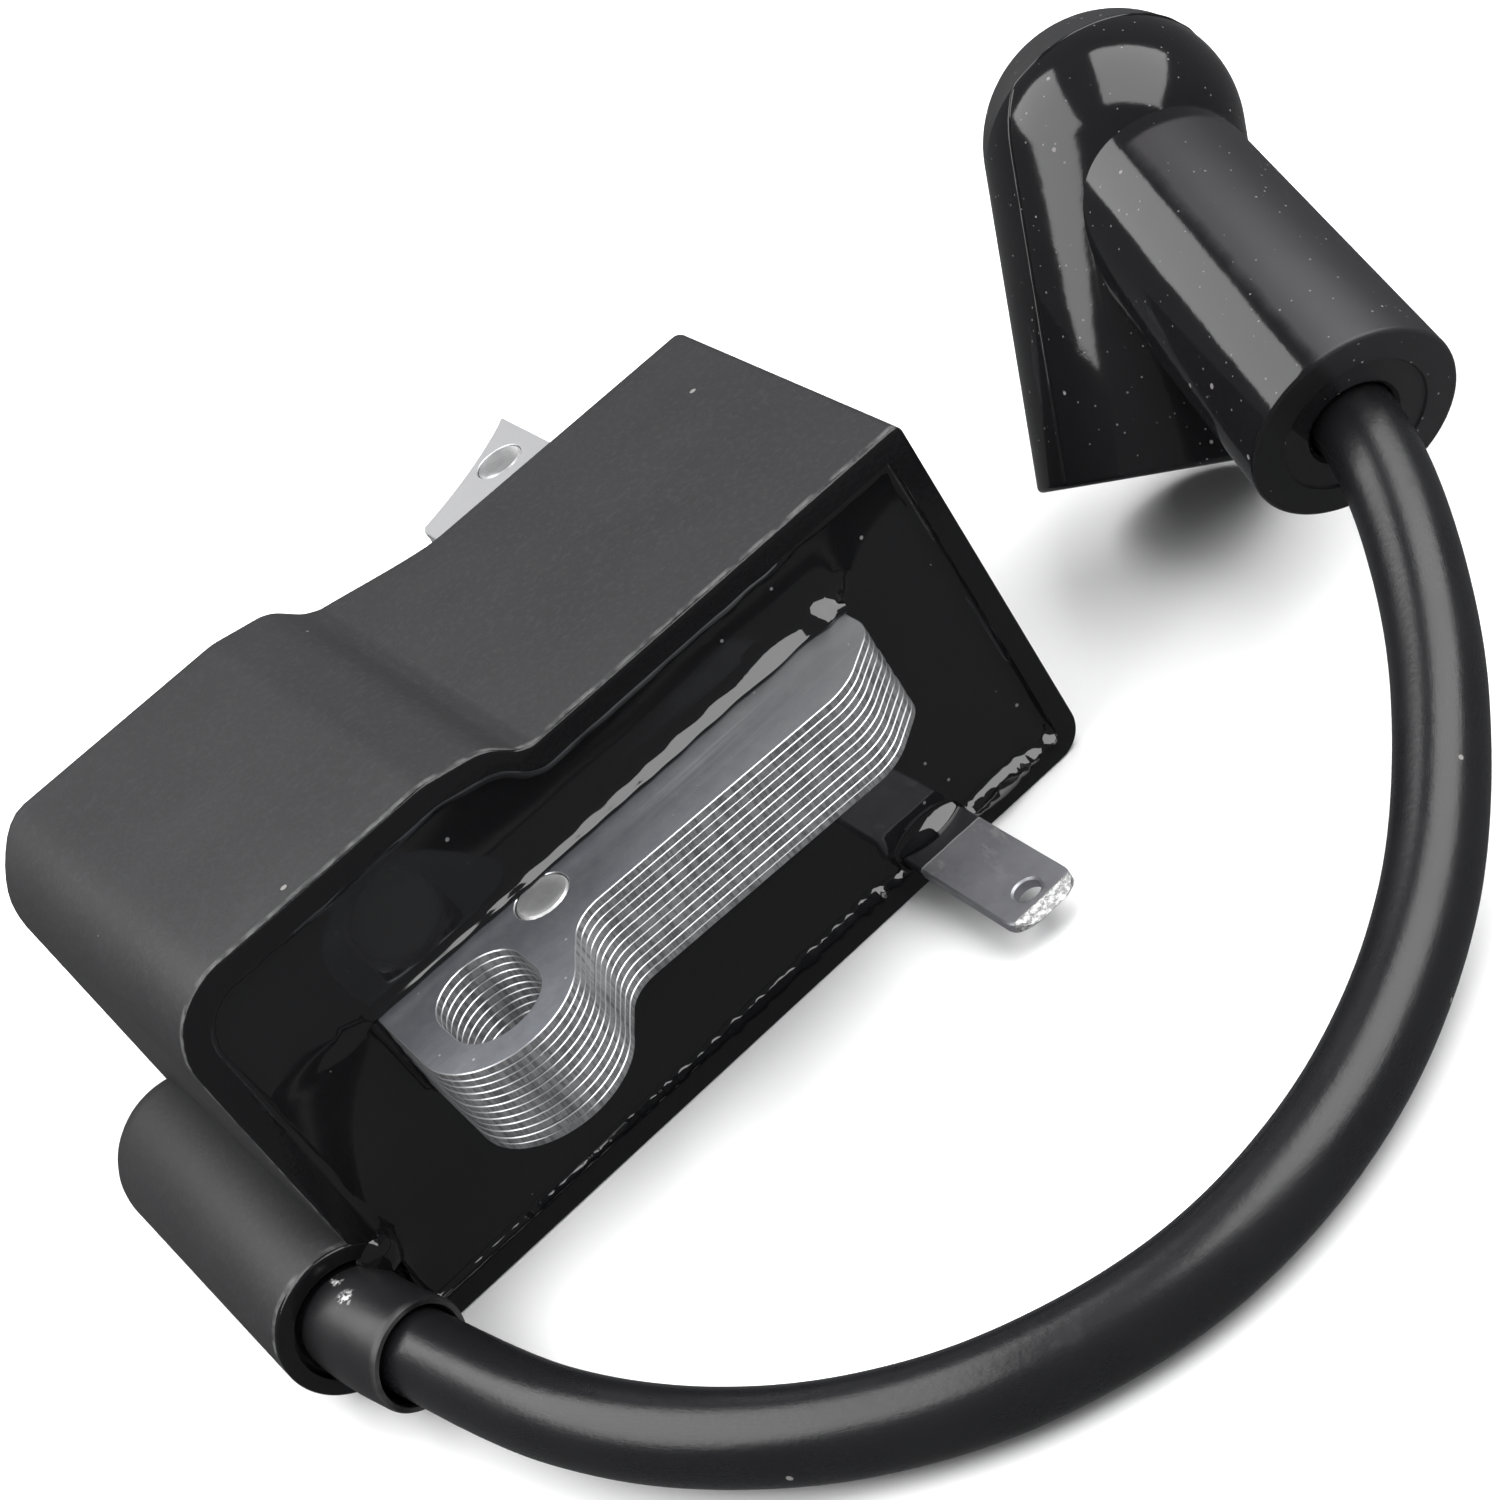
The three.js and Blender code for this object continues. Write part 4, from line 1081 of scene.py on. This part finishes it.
def floor_fillet(x):
    """The bottom wall's fillet: thin at the left, beaded, and thickest just past the blade."""
    bead = noise.noise(Vector((x * 1.7, 0.4, 7.7)))
    swell = hump(x, 45.6, 1.7)
    return 0.3 + 0.45 * min(x / 38, 1.0) * (0.8 + bead * (1 - swell)) + 0.45 * swell


def resin_height(point, wall_gap, core_gap, blade_gap):
    """How far the surface stands out of its flat level, towards the open face."""
    wavy = noise.noise(Vector((point.x * 0.5, point.y * 0.5, 3.1)))
    floor_share = 1 - smooth_step((point.y - WALL) / 1.6)
    over_core = smooth_step((point.y - CORE_TOP + 0.3) / 0.3)
    wall_radius = WALL_FILLET * (1 + 0.3 * wavy)
    wall_radius += (floor_fillet(point.x) - wall_radius) * floor_share
    top_radius = CORE_TOP_FILLET * (0.35 + 0.65 * min(max((point.x - 9) / 33, 0.0), 1.0))
    top_radius *= 1 + 0.22 * noise.noise(Vector((point.x * 0.55, 0.2, 4.6)))
    core_radius = CORE_FILLET + (top_radius - CORE_FILLET) * over_core
    leaf = max(1 - ((point.x - BLADE_X) / 3.0) ** 2, 0.25)
    drawn_up = DRAWN_UP * smooth_step((point.y - CORE_TOP + 0.3) / 0.5)
    rise = fillet_rise(wall_gap, wall_radius, 2 - 0.7 * floor_share) * (1 + 0.3 * floor_share)
    rise += drawn_up * math.exp(-core_gap / DRAWN_REACH)
    rise += fillet_rise(core_gap, core_radius, 2 - 0.92 * over_core) * (1 - 0.12 * over_core)
    rise += 1.3 * fillet_rise(blade_gap, BLADE_FILLET * leaf, 1.3)
    for centre, radius, height in RESIN_LUMPS:
        rise += height * hump((point - Vector(centre)).length, 0.0, radius)
    return rise + POOL_WAVE * noise.noise(Vector((point.x * 0.13, point.y * 0.13, 1.3)))


def make_resin_surface():
    """The poured surface: flat and glossy, and drawn up where it wets the walls and the metal."""
    half = BLADE_WIDTH / 2
    wall = case_front(WALL)
    core = rectangle(LOBE[0] - LOBE[2], CORE_BOTTOM, CORE_MID_X + LEG_OUTER, CORE_TOP)
    blade = rectangle(BLADE_X - half, BLADE_BOTTOM, BLADE_X + half, BLADE_BOTTOM + BLADE_THICK)
    outlines = [resample(outline, 0.3) for outline in (wall, core, blade)]
    extra = []

    def gaps(point):
        return distance_inside(point, wall), -distance_inside(point, core), -distance_inside(point, blade)

    for outline, sign in zip(outlines, (1, -1, -1)):
        normals = outline_normals(outline)
        for level in (0.04, 0.1, 0.18, 0.28, 0.4, 0.55, 0.75, 1.0, 1.3):
            stride = 1 if level < 0.8 else 2
            moved = [p + n * level * sign for p, n in zip(outline[::stride], normals[::stride])]
            extra.extend(p for p in moved if min(gaps(p)) > level * 0.93)
    pitch = 0.55
    for j in range(1, int(BULGE_HEIGHT / pitch)):
        for i in range(1, int(CASE_LENGTH / pitch)):
            point = Vector(((i + 0.5 * (j % 2)) * pitch, j * pitch))
            if min(gaps(point)) > 1.5:
                extra.append(point)
    flat, tris = triangulate(outlines, extra, lambda middle: min(gaps(middle)) > -1e-4)
    front = []
    for v in flat:
        depth = RESIN_LEVEL - resin_height(v, *(max(gap, 0.0) for gap in gaps(v)))
        front.append(lean(Vector((v.x, depth, v.y))))
    back = [lean(Vector((v.x, RESIN_BACK, v.y))) for v in flat]
    place(slab("resin_surface", front, back, tris), RESIN, (), 80)


def make_outlet_resin():
    """Resin that fills the cable outlet round the sleeve, dished, with its edges drawn up."""
    outer = BOSS_BORE_RADIUS - 0.01
    inner = SLEEVE_OUTER - 0.04
    shares = [k / 16 for k in range(17)]
    profile = [(outer + (inner - outer) * s, 0.12 + 0.5 * math.sin(math.pi * s) ** 0.8) for s in shares]
    collar = turned("outlet_resin", profile + [(inner, 4.0), (outer, 4.0)], 96, BOSS_AXIS, BOSS_NEAR)
    for v in collar.data.vertices:
        if v.co.y < 1.5:
            v.co.y += 0.12 * noise.noise(v.co * 0.9)
    place(collar, RESIN, (), 60)


def make_gate_resin():
    """The small bridge of resin between the outlet and the case's pool."""
    bm = bmesh.new()
    bmesh.ops.create_uvsphere(bm, u_segments=48, v_segments=24, radius=1.0)
    for v in bm.verts:
        x, y, z = v.co.x * 1.6 + 0.8, v.co.y * 1.5 + 0.9, v.co.z * 1.7 + 6.65
        v.co = Vector((x, y + 0.1 * noise.noise(Vector((x, z, 2.0)) * 1.4), z))
    place(bmesh_object("gate_resin", bm), RESIN, (), 60)


# ---- core ---------------------------------------------------------------------------------------

def pole_face_y(x):
    return FLYWHEEL_Y - math.sqrt(FLYWHEEL_RADIUS ** 2 - (x - CORE_MID_X) ** 2)


def sheet_outline():
    lobe_x, lobe_y, lobe_radius = LOBE
    corners = [(lobe_x - lobe_radius, YOKE_BACK, 0)]
    corners += [(lobe_x - lobe_radius * c, lobe_y - lobe_radius * s, 0) for c, s in arc(30, math.pi * 0.86)]
    corners += [(20.3, -5.5, 2.6), (39.4, -6.45, 4), (CORE_MID_X + LEG_OUTER, -3.4, 2.6)]
    inner = LEG_INNER + 0.3
    faces = [inner + (SHOE_OUTER - inner) * k / 12 for k in range(12, -1, -1)]
    leg = [(LEG_OUTER, SHOE_START, 0.6), (SHOE_OUTER, SHOE_FULL, 0.6)]
    leg += [(reach, pole_face_y(CORE_MID_X + reach), 0) for reach in faces]
    leg += [(LEG_INNER, pole_face_y(CORE_MID_X + LEG_INNER) - 0.5, 0.3), (LEG_INNER, YOKE_BACK, 0.4)]
    corners += [(CORE_MID_X + reach, y, radius) for reach, y, radius in leg]
    corners += [(CORE_MID_X - reach, y, radius) for reach, y, radius in reversed(leg)]
    return rounded_outline(corners, 8)


def make_sheet():
    """One core sheet at the bottom of the stack, its stamped edges slightly broken."""
    outlines = [sheet_outline(), slot_points(YOKE_SLOT), slot_points(LEG_SLOT)]
    outlines += [circle_points(x, y, RIVET_HOLE_RADIUS, 24) for x, y in RIVETS]
    broken = SHEET_EDGE_BREAK
    moved = []
    for number, outline in enumerate(outlines):
        inward = broken if number == 0 else -broken
        moved.append([p + n * inward for p, n in zip(outline, outline_normals(outline))])

    def on_sheet(middle):
        sheet, *holes = (distance_inside(middle, outline) for outline in moved)
        return sheet >= 0 and max(holes) < 0

    flat, tris = triangulate(moved, [], on_sheet)
    count = len(flat)
    verts = [(v.x, v.y, CORE_BOTTOM + z) for z in (SHEET_THICKNESS, 0.0) for v in flat]
    faces = two_sided(tris, count)
    first = 0
    for outline in outlines:
        size = len(outline)
        upper = len(verts)
        for z in (SHEET_THICKNESS - broken, broken):
            verts.extend((p.x, p.y, CORE_BOTTOM + z) for p in outline)
        levels = (first, upper, upper + size, count + first)
        for high, low in zip(levels, levels[1:]):
            faces.extend((high + i, high + j, low + j, low + i) for i, j in edge_loop(0, size))
        first += size
    return tidy_normals(mesh_object("core_sheets", verts, faces))


def geometry_group(name, *inputs):
    inputs = [("Geometry", "Geometry"), *inputs, ("Seed", "Int"), ("Material", "Material")]
    return new_group(name, "GeometryNodeTree", inputs, [("Geometry", "Geometry")])


def finish_group(nodes, start, end, points, copied, **turned_by):
    """Every group ends the same way: copies on points, made real, with their material set."""
    inputs = {"Points": points, "Instance": copied, **turned_by}
    copies = nodes.add("GeometryNodeInstanceOnPoints", inputs).outputs["Instances"]
    real = nodes.add("GeometryNodeRealizeInstances", {"Geometry": copies}).outputs["Geometry"]
    painted = nodes.add("GeometryNodeSetMaterial", {"Geometry": real, "Material": start["Material"]})
    nodes.feed(end, {"Geometry": painted.outputs["Geometry"]})
    return nodes.tree


def run_group(obj, tree, values):
    """Puts a group on an object, sets its inputs by identifier, and keeps only the result."""
    modifier = obj.modifiers.new("build", "NODES")
    modifier.node_group = tree
    for item in tree.interface.items_tree:
        if item.item_type == "SOCKET" and item.in_out == "INPUT" and item.name in values:
            modifier[item.identifier] = values[item.name]
    bpy.context.view_layer.update()
    bake_modifiers(obj)


def random_vector(nodes, low, high, seed):
    inputs = {"Min": low, "Max": high, "Seed": seed}
    return nodes.add("FunctionNodeRandomValue", inputs, data_type="FLOAT_VECTOR").outputs["Value"]


def stack_group():
    """Copies the sheet upwards, each a hair out of line with the next."""
    sockets = ("Count", "Int"), ("Pitch", "Float"), ("Misfit", "Float")
    nodes, start, end = geometry_group("Sheet Stack", *sockets)
    step = nodes.add("ShaderNodeCombineXYZ", {"Z": start["Pitch"]}).outputs["Vector"]
    line = nodes.add("GeometryNodeMeshLine", {"Count": start["Count"], "Offset": step}).outputs["Mesh"]
    spread = nodes.add("ShaderNodeCombineXYZ", {"X": start["Misfit"], "Y": start["Misfit"]}).outputs["Vector"]
    negative = nodes.add("ShaderNodeVectorMath", {0: spread}, operation="SCALE")
    nodes.feed(negative, {"Scale": -1.0})
    chance = random_vector(nodes, negative.outputs["Vector"], spread, start["Seed"])
    shifted = nodes.add("GeometryNodeSetPosition", {"Geometry": line, "Offset": chance}).outputs["Geometry"]
    return finish_group(nodes, start, end, shifted, start["Geometry"])


def make_core():
    core = make_sheet()
    run_group(core, stack_group(), {
        "Count": SHEET_COUNT, "Pitch": SHEET_PITCH, "Misfit": SHEET_MISFIT, "Seed": 4,
        "Material": CORE_STEEL,
    })
    names = [f"lamination_{i + 1:02d}" for i in range(SHEET_COUNT)]
    place(core, CORE_STEEL, names, 40)


def rivet_group():
    """Sets a turned rivet at each of the object's vertices."""
    nodes, start, end = geometry_group("Set Rivets", ("Rivet", "Object"))
    master = nodes.add("GeometryNodeObjectInfo", {"Object": start["Rivet"]}).outputs["Geometry"]
    turn = random_vector(nodes, (0, 0, 0), (0, 0, math.tau), start["Seed"])
    return finish_group(nodes, start, end, start["Geometry"], master, Rotation=turn)


def make_rivets():
    """Flush rivets: a slightly dished, peened face at each end of a plain shank."""
    height = CORE_TOP - CORE_BOTTOM
    edge = 0.12
    lower = [(0, 0.06), (1.0, 0.03), (RIVET_RADIUS - edge, -0.02), (RIVET_RADIUS, edge)]
    upper = [(radius, height - z) for radius, z in reversed(lower)]
    master = turned("rivet_master", lower + upper, 40, Vector((0, 0, 1)))
    points = mesh_object("core_rivets", [(x, y, CORE_BOTTOM) for x, y in RIVETS], [])
    run_group(points, rivet_group(), {"Rivet": master, "Seed": 2, "Material": RIVET_STEEL})
    bpy.data.objects.remove(master, do_unlink=True)
    names = ["rivet_yoke", "rivet_right_pole", "rivet_left_pole"]
    place(points, RIVET_STEEL, names, 25)


# ---- terminal -----------------------------------------------------------------------------------

def make_blade():
    """Spade blade with a coined, chamfered tip and a dimpled detent hole."""
    left = BLADE_X - BLADE_WIDTH / 2
    right = BLADE_X + BLADE_WIDTH / 2
    shoulder = BLADE_TIP + BLADE_CUT
    outline = resample(rounded_outline([
        (left + BLADE_CUT, BLADE_TIP, 1.6),
        (right - BLADE_CUT, BLADE_TIP, 1.6),
        (right, shoulder, 1.6),
        (right, BLADE_ROOT, 0),
        (left, BLADE_ROOT, 0),
        (left, shoulder, 1.6),
    ], 6), 0.4)
    hole_y = BLADE_TIP + BLADE_HOLE_INSET
    hole, *rings = (circle_points(BLADE_X, hole_y, BLADE_HOLE + wider, 40) for wider in (0, 0.08, 0.16))
    extra = []
    for i in range(1, 12):
        for j in range(1, 46):
            point = Vector((left + BLADE_WIDTH * i / 12, BLADE_TIP + (BLADE_ROOT - BLADE_TIP) * j / 46))
            if distance_inside(point, outline) > 0.2 and distance_inside(point, hole) < -0.15:
                extra.append(point)
    for i in range(1, 16):
        for reach in (COIN_LENGTH - 0.03, COIN_LENGTH + 0.04):
            extra.append(Vector((left + BLADE_WIDTH * i / 16, BLADE_TIP + reach)))
    extra += rings[0] + rings[1] + [p + n * 0.12 for p, n in zip(outline, outline_normals(outline))]

    def on_blade(middle):
        return distance_inside(middle, outline) > 0 and distance_inside(middle, hole) < 0

    def half_thickness(p):
        edge = BLADE_EDGE_BREAK * (1 - smooth_step(max(distance_inside(p, outline), 0.0) / 0.12))
        coin = COIN_DEPTH * max(1 - (p.y - BLADE_TIP) / COIN_LENGTH, 0.0)
        dish = BLADE_EDGE_BREAK * (1 - smooth_step(max(-distance_inside(p, hole), 0.0) / 0.18))
        return BLADE_THICK / 2 - edge - coin - dish

    flat, tris = triangulate([outline, hole], extra, on_blade)
    middle_z = BLADE_BOTTOM + BLADE_THICK / 2
    halves = [half_thickness(p) for p in flat]
    upper = [Vector((p.x, p.y, middle_z + half)) for p, half in zip(flat, halves)]
    lower = [Vector((p.x, p.y, middle_z - half)) for p, half in zip(flat, halves)]
    place(slab("spade_blade", upper, lower, tris), BLADE_TIN, ["spade_terminal"], 30)


# ---- lead, sleeve and boot ----------------------------------------------------------------------

def make_lead():
    steps = 260
    centres, tangents = spline(LEAD_ROUTE, steps)

    def radius(share):
        ripple = noise.noise(Vector((share * 22.0, 0.3, 0.7)))
        ends = min(share, 1 - share) * steps
        trim = 0.25 * max(0.0, 1 - ends / 2.0)
        return LEAD_RADIUS * (1 + 0.008 * ripple) - trim

    lead = swept_tube("high_tension_lead", centres, tangents, radius, 40)
    place(lead, LEAD_RUBBER, ["lead_jacket"], 60)
    return lead, [row(p) for p in centres]


def make_sleeve():
    centres, tangents = spline(SLEEVE_ROUTE, 48)

    def lip(share):
        return max(0.0, 1 - (1 - share) / 0.03) ** 2

    sleeve = swept_tube(
        "outlet_sleeve", centres, tangents,
        lambda share: SLEEVE_OUTER - 0.12 * (1 - share) - 0.12 * lip(share), 64,
        lambda share: SLEEVE_INNER + 0.1 * lip(share),
    )
    return place(sleeve, SLEEVE_RUBBER, ["lead_sleeve"], 50)


def make_boot():
    dome = [(CAP_RADIUS * s, -CAP_RADIUS * c) for c, s in arc(24)]
    cap = dome + rounded_end(CAP_RADIUS, CAP_LENGTH, 0.35, 5) + [(0, CAP_LENGTH)]
    cable = [(0, 0), (CABLE_BASE_RADIUS, 0), *rounded_end(CABLE_END_RADIUS, CABLE_LENGTH, 0.3, 5)]
    cable.append((0, CABLE_LENGTH))
    boot = turned("plug_boot", cap, 128, PLUG_AXIS, BOOT_CENTRE)
    join_rounded(boot, turned("cable", cable, 112, CABLE_AXIS, BOOT_CENTRE), CUFF_FILLET, 2)
    mouth = CAP_BORE + 0.4
    socket = [
        (0, CAP_BORE_START), (CAP_BORE - 1.2, CAP_BORE_START), (CAP_BORE, CAP_BORE_START + 1.2),
        (CAP_BORE, CAP_LENGTH - 0.5), (mouth, CAP_LENGTH + 0.1), (mouth, CAP_LENGTH + 1), (0, CAP_LENGTH + 1),
    ]
    bore = [(0, -CABLE_LENGTH), (CABLE_BORE, -CABLE_LENGTH), (CABLE_BORE, -2.2), (CABLE_MOUTH, -0.9)]
    bore += [(CABLE_MOUTH + 0.05, -0.4), (CABLE_MOUTH + 0.3, -0.2), (CABLE_GROOVE - 0.1, -0.16)]
    bore += [(CABLE_GROOVE, 0.02), (CABLE_GROOVE, 1), (0, 1)]
    bore = [(radius, CABLE_LENGTH + along) for radius, along in bore]
    boolean(boot, turned("socket", socket, 96, PLUG_AXIS, BOOT_CENTRE))
    boolean(boot, turned("cable_bore", bore, 96, CABLE_AXIS, BOOT_CENTRE))
    return place(tidy_normals(boot), BOOT_RUBBER, ["boot_body"], 32)


def make_parting_line():
    """The mould's flash line: round the dome square to the cable, and down the cap's side."""
    side = CABLE_AXIS.cross(PLUG_AXIS).normalized()
    up = side.cross(CABLE_AXIS).normalized()
    if up.dot(PLUG_AXIS) > 0:
        up.negate()
    ring_radius = math.sqrt(CAP_RADIUS ** 2 - SEAM_OFFSET ** 2) - SEAM_SINK
    centre = BOOT_CENTRE + CABLE_AXIS * SEAM_OFFSET
    arc = []
    for k in range(61):
        angle = math.radians(-62 + 124 * k / 60)
        arc.append(centre + (up * math.cos(angle) + side * math.sin(angle)) * ring_radius)

    def run_down(start):
        offset = start - BOOT_CENTRE
        along = offset.dot(PLUG_AXIS)
        outward = (offset - PLUG_AXIS * along).normalized()
        line = []
        for k in range(1, 41):
            reach = along + (CAP_LENGTH - 0.35 - along) * k / 40
            radius = CAP_RADIUS if reach > 0 else math.sqrt(CAP_RADIUS ** 2 - reach ** 2)
            line.append(BOOT_CENTRE + PLUG_AXIS * reach + outward * radius)
        return line

    path = list(reversed(run_down(arc[0]))) + arc + run_down(arc[-1])
    centres, tangents = spline(path[::2] if len(path) % 2 else path[::2] + [path[-1]], 220)
    flash = swept_tube(
        "boot_parting_line", centres, tangents,
        lambda share: FLASH_RADIUS + 0.04 * noise.noise(Vector((share * 60, 0, 0))), 8,
    )
    return place(flash, BOOT_RUBBER, (), 60)


# ---- carried-over nodes -------------------------------------------------------------------------

CARRIED = {
    RESIN: ["potting_resin"],
    BOBBIN_PLASTIC: ["primary_bobbin", "secondary_bobbin"],
    THICK_COPPER: ["primary_winding"],
    THIN_COPPER: [f"secondary_winding_{i}" for i in range(1, 6)],
    BOARD: ["circuit_board"],
    COMPONENT_BLACK: ["power_transistor", "trigger_thyristor", "capacitor", "clamp_diode"],
    RESISTOR: ["gate_resistor", "bias_resistor"],
    CONTACT_BRASS: ["outlet_contact_cup"],
    BARE_COPPER: ["lead_conductor_end", "high_tension_wire"],
    SPRING_WIRE: ["boot_contact_spring"],
}


def finish_carried_nodes():
    for material, names in CARRIED.items():
        for name in names:
            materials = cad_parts[name].data.materials
            materials.clear()
            materials.append(material)


# ---- stage --------------------------------------------------------------------------------------

CAMERA_PLACE = (2.077, -137.61, 106.58)
CAMERA_RIGHT = Vector((0.73060, -0.48819, -0.47738))
CAMERA_UP = Vector((0.65504, 0.30378, 0.69184))
CAMERA_LENS = 72.26
LIT_POINT = (60.0, 0.0, 15.0)
WORLD_LIGHT = 0.15
FILL_LIGHT = 1.9
FLOOR_REACH = 3.0
# Softboxes: direction, the way their long side lies, distance, length, width and radiance.
SOFTBOXES = {
    "left_softbox": ((-0.531, 0.272, 0.807), (0.476, 0.876, 0.129), 0.45, 0.57, 0.34, 4.0),
    "right_softbox": ((0.51, -0.322, 0.803), (0.51, 0.86, 0.0), 0.45, 0.48, 0.44, 4.3),
}


def make_camera():
    data = bpy.data.cameras.new("camera")
    data.lens = CAMERA_LENS
    data.sensor_width = 36.0
    data.clip_start = 0.01
    data.clip_end = 10.0
    camera = add_object("camera", data)
    right = CAMERA_RIGHT.normalized()
    up = (CAMERA_UP - right * CAMERA_UP.dot(right)).normalized()
    turn = Matrix((right, up, right.cross(up))).transposed()
    camera.matrix_world = Matrix.Translation(row(CAMERA_PLACE)) @ turn.to_4x4()
    bpy.context.scene.camera = camera


def softbox(name, direction, along, distance, length, width, radiance):
    """A softbox seen from the object in a direction, its long side lying along a vector."""
    data = bpy.data.lights.new(name, "AREA")
    data.shape = "RECTANGLE"
    data.size = length
    data.size_y = width
    data.energy = radiance * math.pi * length * width
    light = add_object(name, data)
    away = Vector(direction).normalized()
    across = Vector(along)
    across = (across - away * across.dot(away)).normalized()
    turn = Matrix((across, away.cross(across), away)).transposed()
    light.matrix_world = Matrix.Translation(row(LIT_POINT) + away * distance) @ turn.to_4x4()


def make_stage():
    signs = (-1, -1), (1, -1), (1, 1), (-1, 1)
    corners = [(FLOOR_REACH * x, FLOOR_REACH * y, 0) for x, y in signs]
    floor = mesh_object("floor", corners, [(0, 1, 2, 3)])
    finish = Finish("studio_floor", (0.93, 0.93, 0.93), 0.75)
    finish.gloss(finish.cloud(8.0, 2.0, 0.5), 0.1)
    floor.data.materials.append(finish.material)
    floor.visible_glossy = False

    world = bpy.data.worlds.new("studio")
    bpy.context.scene.world = world
    world.use_nodes = True
    background = world.node_tree.nodes["Background"]
    background.inputs["Color"].default_value = (0.97, 0.98, 1.0, 1)
    background.inputs["Strength"].default_value = WORLD_LIGHT

    for name, values in SOFTBOXES.items():
        softbox(name, *values)
    sky = bpy.data.lights.new("overhead_fill", "SUN")
    sky.energy = FILL_LIGHT
    sky.angle = math.radians(120)
    add_object("overhead_fill", sky).visible_glossy = False
    bpy.context.scene.view_settings.view_transform = "Standard"
    bpy.context.scene.view_settings.look = "None"


# ---- build --------------------------------------------------------------------------------------

make_camera()
lead, lead_path = make_lead()
sleeve = make_sleeve()
boot = make_boot()
parting_line = make_parting_line()
make_case()
make_resin_surface()
make_outlet_resin()
make_gate_resin()
make_core()
make_rivets()
make_blade()
finish_carried_nodes()
make_stage()
